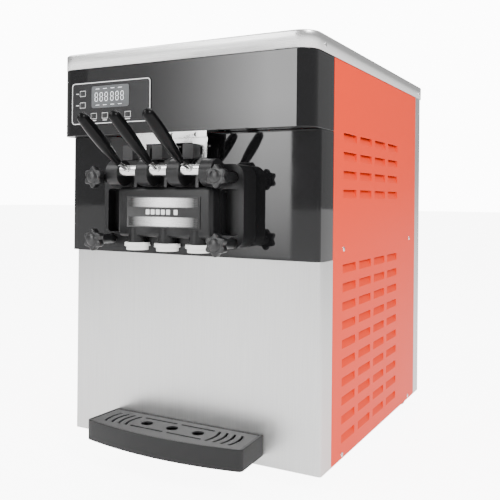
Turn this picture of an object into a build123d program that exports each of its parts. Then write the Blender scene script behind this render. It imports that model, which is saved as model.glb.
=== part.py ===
"""Countertop soft serve machine with two flavours and a twist, built piece by piece.

The row frame: +X to the right of someone who stands before the machine, +Y to its rear, +Z up.
The origin lies on the floor under the middle of the whole machine, levers and gland included.
"""
from build123d import *
import math
import os

os.makedirs("parts", exist_ok=True)

# ---------------------------------------------------------------- overall sizes
body_width = 540.0
body_depth = 640.0
lid_top = 780.0
foot_height = 30.0
lid_height = 30.0
hood_height = 130.0
fascia_height = 225.0
fascia_out = 16.0
hood_out = 52.0
return_depth = 48.0
rear_strip = 51.0
seam = 0.5

# ---------------------------------------------------------------- sheet metal
sheet = 2.0
panel_bend = 5.0
fascia_bend = 9.0
hood_bend = 28.0
lid_bend = 34.0
rear_bend = 12.0
lid_overhang = 2.0
flange_width = 10.0
pan_lip = 22.0
post_size = 20.0
post_inset = 24.0
post_front = 70.0
post_rear = 40.0

# ---------------------------------------------------------------- louvres and screws
louvre_columns = 4
louvre_pitch_y = 90.2
louvre_first_y = 96.7
louvre_length = 70.0
louvre_height = 15.5
louvre_depth = 7.0
louvre_pitch_z = 34.3
upper_louvre_rows = 4
upper_louvre_drop = 128.4
lower_louvre_drop = 367.4
louvre_floor_gap = 25.0
rear_slot_rows = 7
rear_slot_columns = 3
rear_slot_size = (90.0, 6.0)
rear_slot_pitch = (130.0, 30.0)
rear_slot_z = 240.0
screw_head = 4.5
screw_rise = 2.2
screw_radius = 2.0
screw_length = 9.0
screw_gap = 0.1
screw_front = 100.0
screw_rear = 102.0
screw_low = 8.0
lid_screw_front = 50.0
lid_screw_rear = 26.0
lid_screw_drop = 19.0

# ---------------------------------------------------------------- feet and cord gland
foot_radius = 25.0
foot_round = 6.0
foot_front_x = 75.0
foot_rear_x = 48.0
foot_front = 112.0
foot_rear = 45.0
gland_x = 170.0
gland_z = 105.0
gland_radius = 13.0
gland_length = 16.0
gland_bore = 5.0
gland_neck = 9.0

# ---------------------------------------------------------------- levers, head and nozzles
lever_pitch = 66.0
head_side = 35.0
stud_side = 28.0
slab_side = 21.0
slab_drop = 60.0
slab_height = 145.0
slab_thick = 44.0
slab_corner = 22.0
head_drop = 100.0
head_height = 90.0
head_raise = 23.0
head_bevel = 8.0
pocket_side = 9.0
pocket_gap = 4.0
pocket_depth = 20.0
pocket_margin = 10.0
pocket_round = 6.0
ear_width = 25.0
ear_radius = 23.5
ear_out = 22.0
ear_drop = 75.0
pivot_out = 7.0
pivot_rise = 4.0
pin_radius = 5.0
running_gap = 0.05
hub_radius = 10.5
hub_gap = 0.5
stem_radius = 4.0
stem_angle = 17.6
stem_length = 35.7
handle_angle = 37.0
handle_length = 118.0
handle_base_radius = 6.0
handle_waist_radius = 9.8
handle_radius = 11.0
handle_tip_radius = 9.5
handle_socket = 15.0
handle_flare = (0.25, 1.0)
handle_taper = (-0.2, 1.0)
lever_travel = 50.0
toe_length = 22.0
toe_radius = 3.0
toe_cheek = 3.0
toe_cheek_height = 9.0
blade_thick = 6.0
blade_front = 8.0
blade_rear = 6.0
slide_gap = 0.4
plunger_radius = 10.0
plunger_height = 76.0
plunger_lift = 6.0
chamber_depth = 6.0
port_radius = 4.5
port_rise = 11.0
spigot_radius = 17.0
spigot_length = 18.0
cap_radius = 20.0
cap_flange = 23.5
cap_flange_height = 7.0
cap_floor = 3.0
cap_below = 6.0
star_outer = 10.5
star_inner = 7.6
star_points = 6
plate_width = 156.0
plate_height = 55.0
plate_thick = 1.5
plate_drop = 17.0

# ---------------------------------------------------------------- star knobs
stud_radius = 5.0
stud_edge = 23.0
stud_low = 9.0
knob_shank = 8.8
knob_reach = 47.0
knob_lobes = 6
knob_lobe_ring = 13.5
knob_lobe_radius = 6.5
knob_core_radius = 12.5
knob_head = 14.0
knob_dome = 4.5
knob_round = 2.5
knob_gap = 0.3
bore_end = 6.0
counterbore_radius = 10.5
counterbore_depth = 6.0

# ---------------------------------------------------------------- switch bracket
bracket_end = 1.0
bracket_flange = 11.0
bracket_flange_width = 84.0
bracket_strip = 6.0
bracket_slit = 3.0
bracket_front = 8.0
bracket_tab = 30.0
bracket_tab_width = 29.8
tab_offset = -27.3
tab_slot = (4.5, 15.0)
tab_slot_offset = 17.9
switch_width = 22.0
switch_depth = 18.0
switch_height = 27.0
switch_offset = -37.0

# ---------------------------------------------------------------- freezing and drive
cylinder_drop = 140.0
cylinder_outer = 48.0
cylinder_inner = 45.0
cylinder_length = 346.0
cylinder_floor = 4.0
gasket_outer = 51.0
gasket_inner = 47.0
gasket_thick = 3.0
shaft_radius = 7.0
blade_radius = 44.3
scraper_depth = 6.0
scraper_thick = 3.0
scraper_arms = 4
scraper_end_gap = 8.0
shaft_sink = 0.1
reducer_length = 70.0
reducer_size = 90.0
reducer_grip = 12.0
pulley_gap = 5.0
pulley_width = 18.0
driven_radius = 50.0
driver_radius = 22.0
drive_shaft = 6.0
drive_grip = 20.0
belt_gap = 0.3
belt_thick = 4.0
belt_width = 12.0
belt_drop = 150.0
motor_radius = 55.0
motor_length = 140.0
stand_width = 80.0
stand_length = 100.0
compressor_radius = 75.0
compressor_height = 190.0
compressor_rear = 130.0
compressor_side = 118.0
compressor_round = 30.0
compressor_plate = 20.0
condenser_side = 60.0
condenser_thick = 40.0
condenser_front = 130.0
condenser_rear = 130.0
condenser_low = 30.0
condenser_top_gap = 30.0
fin_count = 12
fin_slit = 5.0
fan_blades = 5
fan_hub_radius = 26.0
fan_hub_length = 22.0
fan_chord = 46.0
fan_blade_thick = 2.5
fan_tilt = 28.0
fan_edge_gap = 8.0
fan_face_gap = 16.0
fan_motor_radius = 36.0
fan_motor_length = 55.0
fan_stand = 24.0

# ---------------------------------------------------------------- hoppers
basin_width = 180.0
basin_length = 300.0
basin_depth = 165.0
basin_gap = 30.0
basin_front = 120.0
basin_corner = 2.0
basin_wall = 1.5
hopper_flange = 10.0
cover_gap = 1.0
lid_sheet = 2.5
lid_plug = 8.0
lid_plug_gap = 1.0
lid_rim = 6.0
lid_corner = 12.0
lid_grip_length = 90.0
lid_grip_height = 22.0
lid_grip_size = 8.0
feed_radius = 9.0
feed_bore = 6.0
feed_y = 190.0
feed_stand = 55.0

# ---------------------------------------------------------------- drip tray
tray_back_half = 161.0
tray_front_half = 165.0
tray_side_depth = 83.0
tray_depth = 106.0
tray_corner = 9.0
tray_low = 48.0
tray_height = 37.0
tray_wall = 5.0
tray_rim = 8.0
tray_floor = 3.0
tray_gap = 0.3
grid_thick = 3.0
grid_sink = 0.6
grid_hole_radius = 11.0
grid_holes = 3
grid_hole_pitch = 55.5
grid_hole_y = 48.0
grid_long_slot = 76.0
grid_slot_width = 5.0
grid_side_slots = 4
grid_side_slot_x = 86.0
grid_side_slot_pitch = 15.4
grid_side_slot_length = 51.0
grid_side_slot_bow = 5.0
grid_cross_slot_y = 24.0
hook_width = 24.0
hook_thick = 3.0
hook_reach = 14.0
hook_pitch = 200.0
hook_gap = 0.6
hook_rise = 14.0

# ---------------------------------------------------------------- control panel
panel_width = 191.0
panel_height = 83.0
panel_thick = 1.2
panel_round = 8.0
panel_edge = 1.0
panel_low = 20.5
display_size = (90.0, 42.0)
display_x = 96.0
display_z = 52.5
display_round = 5.0
display_thick = 1.0
button_size = (12.0, 9.0)
button_round = 2.0
button_gap = 0.3
button_thick = 1.7
button_travel = 0.5
button_play = 0.1
column_button_x = 28.5
column_button_z = (61.0, 38.5)
row_button_z = 16.5
row_button_x = (56.5, 83.5, 111.0, 138.0)

# ---------------------------------------------------------------- worked out from the sizes above
half_width = body_width / 2
inner_half = half_width - sheet
lid_low = lid_top - lid_height
hood_low = lid_low - hood_height
fascia_low = hood_low - fascia_height
slab_front = fascia_out + slab_thick
head_front = slab_front + head_raise
ear_forward = slab_front + ear_out
pivot_forward = head_front + pivot_out
pivot_z = hood_low - ear_drop + pivot_rise
tip_forward = (pivot_forward + stem_length * math.cos(math.radians(stem_angle))
               + handle_length * math.cos(math.radians(handle_angle)) + handle_tip_radius)
# y of the lower front panel, which puts the origin midway between lever tips and gland
front = (tip_forward - body_depth - gland_length) / 2
front_face = front
rear_face = front + body_depth
fascia_face = front - fascia_out
hood_face = front - hood_out
lever_x = [-lever_pitch, 0.0, lever_pitch]
head_half = lever_pitch + head_side
stud_x = head_half + stud_side
slab_half = stud_x + slab_side
slab_top = hood_low - slab_drop
slab_low = slab_top - slab_height
slab_face = front - slab_front
blade_reach = blade_radius - shaft_sink
pocket_height = head_height - pocket_margin
head_face = front - head_front
head_top = hood_low - head_drop
head_low = head_top - head_height
stud_z = [slab_top - stud_edge, slab_low + stud_low]
ear_y = front - ear_forward
ear_z = hood_low - ear_drop
pivot_y = front - pivot_forward
toe_angle = lever_travel / 2
toe_rest_z = pivot_z - toe_length * math.sin(math.radians(toe_angle))
plunger_y = pivot_y + toe_length
toe_y = pivot_y + toe_length * math.cos(math.radians(toe_angle))
spigot_end = head_low - spigot_length
cap_end = spigot_end - cap_below
cap_top = cap_end + 2 * cap_flange_height
cylinder_z = hood_low - cylinder_drop
cylinder_front = fascia_face
cylinder_rear = cylinder_front + cylinder_length
reducer_rear = cylinder_rear + reducer_length
pulley_front = reducer_rear + pulley_gap
motor_z = cylinder_z - belt_drop
floor_z = foot_height + sheet
stand_top = motor_z - motor_radius
left_right = [("left", -1), ("right", 1)]


# ---------------------------------------------------------------- shared shapes
def block(x_span, y_span, z_span, mode=Mode.ADD):
    """A rectangular block between two corners, added to or cut from the piece being made."""
    middle = [(low + high) / 2 for low, high in (x_span, y_span, z_span)]
    with Locations(tuple(middle)):
        Box(x_span[1] - x_span[0], y_span[1] - y_span[0], z_span[1] - z_span[0], mode=mode)


def rod(axis, start, end, across, radius, mode=Mode.ADD):
    """A round bar along one row axis; across holds its two other coordinates in X, Y, Z order."""
    middle = (start + end) / 2
    turns = {"X": (0, 90, 0), "Y": (90, 0, 0), "Z": (0, 0, 0)}
    places = {"X": (middle, *across), "Y": (across[0], middle, across[1]), "Z": (*across, middle)}
    with Locations(places[axis]):
        Cylinder(radius, abs(end - start), rotation=turns[axis], mode=mode)


def facing_front(y):
    """A plane across the machine: its local axes are X and Z, and it extrudes to the front."""
    return Plane.XZ.offset(-y)


def bent_sheet(y_span, z_span, half, bend, rear_bent=False):
    """A sheet that wraps a face of the cabinet, with a return on each side."""
    open_y, closed_y = (y_span[0], y_span[1]) if rear_bent else (y_span[1], y_span[0])
    inner_y = closed_y - sheet if rear_bent else closed_y + sheet
    layers = ((half, closed_y, bend, Mode.ADD), (half - sheet, inner_y, bend - sheet, Mode.SUBTRACT))
    for reach, face_y, radius, mode in layers:
        with BuildSketch(Plane.XY.offset(z_span[0])) as outline:
            with Locations((0, (open_y + face_y) / 2)):
                Rectangle(2 * reach, abs(open_y - face_y))
            bent = outline.vertices().group_by(Axis.Y)[-1 if rear_bent else 0]
            fillet(bent, radius)
        extrude(outline.sketch, amount=z_span[1] - z_span[0], mode=mode)


def finish(piece, name):
    """Labels a finished piece and writes it under its own name."""
    piece.part.label = name
    export_step(piece.part, f"parts/{name}.step")


# ---------------------------------------------------------------- base, posts, feet
with BuildPart() as base_pan:
    pan_half = half_width - flange_width - seam
    pan_y = (front_face + sheet + seam, rear_face - sheet - seam)
    block((-pan_half, pan_half), pan_y, (foot_height, foot_height + pan_lip))
    block((-pan_half + sheet, pan_half - sheet), (pan_y[0] + sheet, pan_y[1] - sheet),
          (floor_z, foot_height + pan_lip), Mode.SUBTRACT)
finish(base_pan, "base_pan")

post_x = half_width - post_inset
post_places = [(side * post_x, y) for side in (-1, 1)
               for y in (front_face + post_front, rear_face - post_rear)]
with BuildPart() as frame_posts:
    with BuildSketch(Plane.XY.offset(floor_z)):
        with Locations(*post_places):
            Rectangle(post_size, post_size)
            Rectangle(post_size - 2 * sheet, post_size - 2 * sheet, mode=Mode.SUBTRACT)
    extrude(amount=lid_low - floor_z)
finish(frame_posts, "frame_posts")

foot_places = [(side * (half_width - inset), y) for side in (-1, 1)
               for inset, y in ((foot_front_x, front_face + foot_front),
                                (foot_rear_x, rear_face - foot_rear))]
with BuildPart() as rubber_feet:
    with BuildSketch():
        with Locations(*foot_places):
            Circle(foot_radius)
    extrude(amount=foot_height)
    fillet(rubber_feet.edges().group_by(Axis.Z)[0], foot_round)
finish(rubber_feet, "rubber_feet")

# ---------------------------------------------------------------- outer panels
hook_z = tray_low + hook_rise
with BuildPart() as front_panel:
    bent_sheet((front_face, front_face + return_depth - seam), (foot_height, fascia_low - seam),
               half_width, panel_bend)
    for side in (-1, 1):
        hook_x = side * hook_pitch / 2
        block((hook_x - hook_width / 2, hook_x + hook_width / 2),
              (front_face - hook_reach, front_face + sheet / 2), (hook_z, hook_z + hook_thick))
finish(front_panel, "front_panel")

with BuildPart() as dispenser_fascia:
    bent_sheet((fascia_face, front_face + return_depth - seam), (fascia_low, hood_low - seam),
               half_width, fascia_bend)
    block((-inner_half + fascia_bend, inner_half - fascia_bend),
          (fascia_face + sheet / 2, front_face + sheet), (fascia_low, fascia_low + sheet))
    for side in (-1, 1):
        rod("Y", fascia_face - sheet, fascia_face + 2 * sheet, (side * lever_pitch, cylinder_z),
            cylinder_outer + running_gap, Mode.SUBTRACT)
        for z in stud_z:
            rod("Y", fascia_face - sheet, fascia_face + 2 * sheet, (side * stud_x, z),
                stud_radius + running_gap, Mode.SUBTRACT)
finish(dispenser_fascia, "dispenser_fascia")

with BuildPart() as upper_hood:
    bent_sheet((hood_face, front_face + return_depth - seam), (hood_low, lid_low), half_width, hood_bend)
    with BuildSketch(Plane.XY.offset(hood_low)) as hood_floor:
        with Locations((0, (hood_face + front_face) / 2)):
            Rectangle(2 * half_width - sheet, front_face - hood_face - sheet)
        fillet(hood_floor.vertices().group_by(Axis.Y)[0], hood_bend - sheet)
    extrude(amount=sheet)
finish(upper_hood, "upper_hood")


def side_panel(side):
    """An orange side panel: a flat sheet with flanges and columns of inward louvres."""
    outer = side * half_width
    inner = side * inner_half
    y_low = front_face + return_depth
    y_high = rear_face - rear_strip - seam
    upper_rows = [lid_low - upper_louvre_drop - row * louvre_pitch_z for row in range(upper_louvre_rows)]
    lower_top = lid_low - lower_louvre_drop
    lower_room = lower_top - louvre_height - foot_height - louvre_floor_gap
    lower_row_count = int(lower_room // louvre_pitch_z) + 1
    lower_rows = [lower_top - row * louvre_pitch_z for row in range(lower_row_count)]
    column_room = y_high - flange_width - front_face - louvre_first_y - louvre_length
    columns = min(louvre_columns, int(column_room // louvre_pitch_y) + 1)
    with BuildPart() as panel:
        block(sorted((outer, inner)), (y_low, y_high), (foot_height, lid_low))
        for y_start in (y_low, y_high - sheet):
            block(sorted((outer, outer - side * flange_width)), (y_start, y_start + sheet),
                  (foot_height, lid_low))
        passes = ((inner, sheet, Mode.ADD), (outer, 0.0, Mode.SUBTRACT))
        for face_x, cheek, mode in passes:
            for column in range(columns):
                start = front_face + louvre_first_y + column * louvre_pitch_y
                with BuildSketch(facing_front(start + louvre_length + cheek)):
                    for top in upper_rows + lower_rows:
                        Polygon((face_x, top - louvre_height), (face_x, top),
                                (face_x - side * louvre_depth, top), align=None)
                extrude(amount=louvre_length + 2 * cheek, mode=mode)
        for y, z in screw_places:
            rod("X", inner - side * sheet, outer + side * sheet, (y, z),
                screw_radius + screw_gap, Mode.SUBTRACT)
    return panel


screw_places = [(y, foot_height + z) for z in (screw_low, fascia_low - foot_height + screw_low * 2)
                for y in (front_face + screw_front, rear_face - screw_rear)]
for side_name, side_sign in left_right:
    finish(side_panel(side_sign), f"side_panel_{side_name}")

with BuildPart() as rear_panel:
    bent_sheet((rear_face - rear_strip, rear_face), (foot_height, lid_low), half_width, rear_bend,
               rear_bent=True)
    with BuildSketch(facing_front(rear_face + sheet)):
        with Locations((0, rear_slot_z)):
            with GridLocations(*rear_slot_pitch, rear_slot_columns, rear_slot_rows):
                SlotOverall(*rear_slot_size)
    extrude(amount=3 * sheet, mode=Mode.SUBTRACT)
    rod("Y", rear_face - 2 * sheet, rear_face + sheet, (gland_x, gland_z),
        gland_neck + running_gap, Mode.SUBTRACT)
finish(rear_panel, "rear_panel")

cover_half = half_width + lid_overhang
cover_y = (hood_face - lid_overhang, rear_face + lid_overhang)
basin_places = [side * (basin_width + basin_gap) / 2 for side in (-1, 1)]
basin_y = (front_face + basin_front, front_face + basin_front + basin_length)
with BuildPart() as top_cover:
    for shrink, low, mode in ((0.0, lid_low, Mode.ADD), (sheet, lid_low, Mode.SUBTRACT)):
        with BuildSketch(Plane.XY.offset(low)) as cover_outline:
            with Locations((0, (cover_y[0] + cover_y[1]) / 2)):
                Rectangle(2 * (cover_half - shrink), cover_y[1] - cover_y[0] - 2 * shrink)
            fillet(cover_outline.vertices().group_by(Axis.Y)[0], lid_bend - shrink)
            fillet(cover_outline.vertices().group_by(Axis.Y)[-1], rear_bend - shrink)
        extrude(amount=lid_height - shrink, mode=mode)
    for x in basin_places:
        block((x - basin_width / 2 - cover_gap, x + basin_width / 2 + cover_gap),
              (basin_y[0] - cover_gap, basin_y[1] + cover_gap), (lid_low, lid_top), Mode.SUBTRACT)
    lid_screws = [(hood_face + lid_screw_front, lid_top - lid_screw_drop),
                  (rear_face - lid_screw_rear, lid_top - lid_screw_drop)]
    for side in (-1, 1):
        for y, z in lid_screws:
            rod("X", side * (cover_half - 2 * sheet), side * (cover_half + sheet), (y, z),
                screw_radius + screw_gap, Mode.SUBTRACT)
finish(top_cover, "top_cover")

with BuildPart() as cabinet_screws:
    for side in (-1, 1):
        for face_x, places in ((half_width, screw_places), (cover_half, lid_screws)):
            for y, z in places:
                rod("X", side * face_x, side * (face_x + screw_rise), (y, z), screw_head)
                rod("X", side * (face_x - screw_length), side * face_x, (y, z), screw_radius)
finish(cabinet_screws, "cabinet_screws")

with BuildPart() as cable_gland:
    with BuildSketch(facing_front(rear_face + gland_length)):
        with Locations((gland_x, gland_z)):
            RegularPolygon(gland_radius, 6)
    extrude(amount=gland_length)
    chamfer(cable_gland.edges().group_by(Axis.Y)[-1], sheet)
    rod("Y", rear_face - 3 * sheet, rear_face, (gland_x, gland_z), gland_neck)
    rod("Y", rear_face - 3 * sheet, rear_face + gland_length, (gland_x, gland_z), gland_bore,
        Mode.SUBTRACT)
finish(cable_gland, "cable_gland")

# ---------------------------------------------------------------- control panel
panel_left = -half_width + hood_bend + panel_edge
panel_bottom = hood_low + panel_low
panel_face = hood_face - panel_thick
button_places = [("upper", (column_button_x, column_button_z[0])),
                 ("lower", (column_button_x, column_button_z[1]))]
button_places += [(f"row_{index + 1}", (x, row_button_z)) for index, x in enumerate(row_button_x)]
with BuildPart() as control_panel:
    with BuildSketch(facing_front(hood_face)):
        with Locations((panel_left + panel_width / 2, panel_bottom + panel_height / 2)):
            RectangleRounded(panel_width, panel_height, panel_round)
        for _, (x, z) in button_places:
            with Locations((panel_left + x, panel_bottom + z)):
                RectangleRounded(button_size[0] + 2 * button_gap, button_size[1] + 2 * button_gap,
                                 button_round, mode=Mode.SUBTRACT)
    extrude(amount=panel_thick)
finish(control_panel, "control_panel")

with BuildPart() as display_window:
    with BuildSketch(facing_front(panel_face)):
        with Locations((panel_left + display_x, panel_bottom + display_z)):
            RectangleRounded(*display_size, display_round)
    extrude(amount=display_thick)
finish(display_window, "display_window")

for button_name, (button_x, button_z) in button_places:
    with BuildPart() as button:
        with BuildSketch(facing_front(hood_face - button_travel - button_play)):
            with Locations((panel_left + button_x, panel_bottom + button_z)):
                RectangleRounded(*button_size, button_round)
        extrude(amount=button_thick)
    finish(button, f"button_{button_name}")

# ---------------------------------------------------------------- dispensing head
ear_x = [(place - len(lever_x) / 2) * lever_pitch for place in range(len(lever_x) + 1)]
with BuildPart() as dispensing_head:
    with BuildSketch(facing_front(fascia_face)):
        with Locations((0, (slab_low + slab_top) / 2)):
            RectangleRounded(2 * slab_half, slab_height, slab_corner)
    extrude(amount=slab_thick)
    block((-head_half, head_half), (head_face, slab_face), (head_low, head_top))
    chamfer(dispensing_head.faces().sort_by(Axis.Y)[0].edges(), head_bevel)
    for side in (-1, 1):
        pocket_x = (head_half + pocket_gap, slab_half - pocket_side)
        with BuildSketch(facing_front(slab_face + pocket_depth)):
            with Locations((side * sum(pocket_x) / 2, (stud_z[0] + stud_z[1]) / 2)):
                RectangleRounded(pocket_x[1] - pocket_x[0], pocket_height, pocket_round)
        extrude(amount=pocket_depth, mode=Mode.SUBTRACT)
    for x in ear_x:
        rod("X", x - ear_width / 2, x + ear_width / 2, (ear_y, ear_z), ear_radius)
        block((x - ear_width / 2, x + ear_width / 2), (ear_y, slab_face + pocket_round),
              (head_top - pocket_round, ear_z + ear_radius))
    for x in lever_x:
        rod("Z", spigot_end, cap_top + knob_gap, (x, plunger_y), cap_flange + knob_gap, Mode.SUBTRACT)
        rod("Z", spigot_end, head_low + head_bevel, (x, plunger_y), spigot_radius)
    rod("X", ear_x[0] - ear_width, ear_x[-1] + ear_width, (pivot_y, pivot_z),
        pin_radius + running_gap, Mode.SUBTRACT)
    for x in lever_x:
        rod("Z", spigot_end, head_top + head_bevel, (x, plunger_y), plunger_radius + running_gap,
            Mode.SUBTRACT)
    for side in (-1, 1):
        middle_x = side * lever_pitch
        rod("Y", fascia_face - chamber_depth, fascia_face, (middle_x, cylinder_z), cylinder_inner,
            Mode.SUBTRACT)
        with BuildSketch(facing_front(fascia_face)):
            with Locations((middle_x, cylinder_z)):
                Circle(gasket_outer)
                Circle(gasket_inner, mode=Mode.SUBTRACT)
        extrude(amount=gasket_thick, mode=Mode.SUBTRACT)
        for z in stud_z:
            rod("Y", slab_face, fascia_face, (side * stud_x, z), stud_radius + knob_gap, Mode.SUBTRACT)
            rod("Y", slab_face, slab_face + counterbore_depth, (side * stud_x, z),
                counterbore_radius, Mode.SUBTRACT)
        port_z = spigot_end + spigot_length + port_rise
        port_start = Vector(middle_x, fascia_face - chamber_depth / 2, port_z)
        feeds = [(port_start, Vector(middle_x, plunger_y, port_z)),
                 (Vector(side * (lever_pitch - 2 * hub_radius), port_start.Y, port_z),
                  Vector(0, plunger_y, port_z))]
        for start, end in feeds:
            with BuildSketch(Plane(origin=start, z_dir=end - start)):
                Circle(port_radius)
            extrude(amount=(end - start).length, mode=Mode.SUBTRACT)
finish(dispensing_head, "dispensing_head")

with BuildPart() as name_plate:
    with BuildSketch(facing_front(head_face)):
        with Locations((0, head_top - plate_drop - plate_height / 2)):
            RectangleRounded(plate_width, plate_height, plate_thick)
    extrude(amount=plate_thick)
finish(name_plate, "name_plate")

with BuildPart() as lever_pivot_pin:
    rod("X", ear_x[0] - ear_width / 2 - sheet, ear_x[-1] + ear_width / 2 + sheet,
        (pivot_y, pivot_z), pin_radius)
finish(lever_pivot_pin, "lever_pivot_pin")

with BuildPart() as door_gaskets:
    for side in (-1, 1):
        with BuildSketch(facing_front(fascia_face)):
            with Locations((side * lever_pitch, cylinder_z)):
                Circle(gasket_outer)
                Circle(gasket_inner, mode=Mode.SUBTRACT)
        extrude(amount=gasket_thick)
finish(door_gaskets, "door_gaskets")

stem_rad = math.radians(stem_angle)
handle_rad = math.radians(handle_angle)
handle_dir = Vector(0, -math.cos(handle_rad), math.sin(handle_rad))
stem_dir = Vector(0, -math.cos(stem_rad), math.sin(stem_rad))
hub_half = (lever_pitch - ear_width) / 2 - hub_gap
cheek_in = blade_thick / 2 + slide_gap
for lever_name, x in zip(("left", "middle", "right"), lever_x):
    pivot = Vector(x, pivot_y, pivot_z)
    handle_base = pivot + stem_dir * stem_length
    with BuildPart() as lever_hub:
        rod("X", x - hub_half, x + hub_half, (pivot_y, pivot_z), hub_radius)
        with BuildSketch(Plane(origin=pivot, z_dir=stem_dir)):
            Circle(stem_radius)
        extrude(amount=stem_length)
        with Locations(handle_base):
            Sphere(stem_radius)
        with BuildSketch(Plane(origin=handle_base, z_dir=handle_dir)):
            Circle(stem_radius)
        extrude(amount=handle_socket - 1)
        for start in (x - cheek_in - toe_cheek, x + cheek_in):
            with BuildSketch(Plane.YZ.offset(start)):
                with Locations((pivot_y, pivot_z)):
                    with Locations(Rotation(0, 0, -toe_angle)):
                        with Locations((toe_length / 2, 0)):
                            SlotCenterToCenter(toe_length, toe_cheek_height)
            extrude(amount=toe_cheek)
        rod("X", x - cheek_in, x + cheek_in, (toe_y, toe_rest_z), toe_radius)
        rod("X", x - hub_half, x + hub_half, (pivot_y, pivot_z), pin_radius + running_gap,
            Mode.SUBTRACT)
    finish(lever_hub, f"lever_hub_{lever_name}")

    with BuildPart() as lever_handle:
        handle_plane = Plane(origin=handle_base, x_dir=(1, 0, 0),
                             z_dir=Vector(1, 0, 0).cross(handle_dir))
        with BuildSketch(handle_plane):
            with BuildLine():
                Line((0, 0), (handle_base_radius, 0))
                Spline((handle_base_radius, 0), (handle_waist_radius, handle_length / 3),
                       (handle_radius, handle_length * 2 / 3), (handle_tip_radius, handle_length),
                       tangents=(handle_flare, handle_taper))
                ThreePointArc((handle_tip_radius, handle_length),
                              (handle_tip_radius * math.cos(math.pi / 4),
                               handle_length + handle_tip_radius * math.sin(math.pi / 4)),
                              (0, handle_length + handle_tip_radius))
                Line((0, handle_length + handle_tip_radius), (0, 0))
            make_face()
        revolve(axis=Axis(handle_base, handle_dir))
        with BuildSketch(Plane(origin=handle_base, z_dir=handle_dir)):
            Circle(stem_radius + running_gap)
        extrude(amount=handle_socket, mode=Mode.SUBTRACT)
        with Locations(handle_base):
            Sphere(stem_radius + knob_gap, mode=Mode.SUBTRACT)
    finish(lever_handle, f"lever_handle_{lever_name}")

    with BuildPart() as draw_plunger:
        plunger_low = spigot_end + cap_below + plunger_lift
        rod("Z", plunger_low, plunger_low + plunger_height, (x, plunger_y), plunger_radius)
        block((x - blade_thick / 2, x + blade_thick / 2),
              (plunger_y - blade_front, plunger_y + blade_rear),
              (plunger_low + plunger_height, toe_rest_z + toe_cheek_height - sheet))
        with BuildSketch(Plane.YZ.offset(x - blade_thick)):
            with Locations(((toe_y + plunger_y) / 2, toe_rest_z)):
                SlotCenterToCenter(plunger_y - toe_y, 2 * (toe_radius + slide_gap))
        extrude(amount=2 * blade_thick, mode=Mode.SUBTRACT)
    finish(draw_plunger, f"draw_plunger_{lever_name}")

with BuildPart() as nozzle_caps:
    for x in lever_x:
        rod("Z", cap_end, cap_top, (x, plunger_y), cap_radius)
        rod("Z", cap_end + cap_flange_height, cap_top, (x, plunger_y), cap_flange)
        rod("Z", cap_end + cap_floor, cap_top, (x, plunger_y), spigot_radius + running_gap,
            Mode.SUBTRACT)
    with BuildSketch(Plane.XY.offset(cap_end)):
        for x in lever_x:
            rays = [((star_outer, star_inner)[corner % 2], corner * math.pi / star_points)
                    for corner in range(2 * star_points)]
            Polygon(*[(x + radius * math.sin(turn), plunger_y + radius * math.cos(turn))
                      for radius, turn in rays], align=None)
    extrude(amount=cap_floor, mode=Mode.SUBTRACT)
finish(nozzle_caps, "nozzle_caps")

# ---------------------------------------------------------------- door studs and star knobs
stud_end = slab_face - knob_reach - bore_end
knob_base = slab_face - knob_gap
with BuildPart() as door_studs:
    for side in (-1, 1):
        for z in stud_z:
            rod("Y", stud_end, fascia_face + 2 * sheet, (side * stud_x, z), stud_radius)
finish(door_studs, "door_studs")

for side_name, side_sign in left_right:
    for level, z in zip(("upper", "lower"), stud_z):
        x = side_sign * stud_x
        with BuildPart() as star_knob:
            rod("Y", knob_base - knob_reach, knob_base, (x, z), knob_shank)
            with BuildSketch(facing_front(knob_base - knob_reach)):
                with Locations((x, z)):
                    Circle(knob_core_radius)
                    with PolarLocations(knob_lobe_ring, knob_lobes, start_angle=90):
                        Circle(knob_lobe_radius)
            extrude(amount=knob_head)
            fillet(star_knob.faces().sort_by(Axis.Y)[0].edges(), knob_round)
            dome_radius = (knob_core_radius ** 2 + knob_dome ** 2) / (2 * knob_dome)
            dome_y = knob_base - knob_reach - knob_head - knob_dome
            with BuildSketch(Plane.XY.offset(z)):
                with BuildLine():
                    edge = (x + knob_core_radius, dome_y + knob_dome)
                    RadiusArc(edge, (x, dome_y), -dome_radius, short_sagitta=True)
                    Line((x, dome_y), (x, dome_y + knob_dome + knob_round))
                    Line((x, dome_y + knob_dome + knob_round), (edge[0], edge[1] + knob_round))
                    Line((edge[0], edge[1] + knob_round), edge)
                make_face()
            revolve(axis=Axis((x, dome_y, z), (0, 1, 0)))
            rod("Y", stud_end - bore_end, knob_base, (x, z), stud_radius + running_gap, Mode.SUBTRACT)
        finish(star_knob, f"star_knob_{side_name}_{level}")

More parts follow.
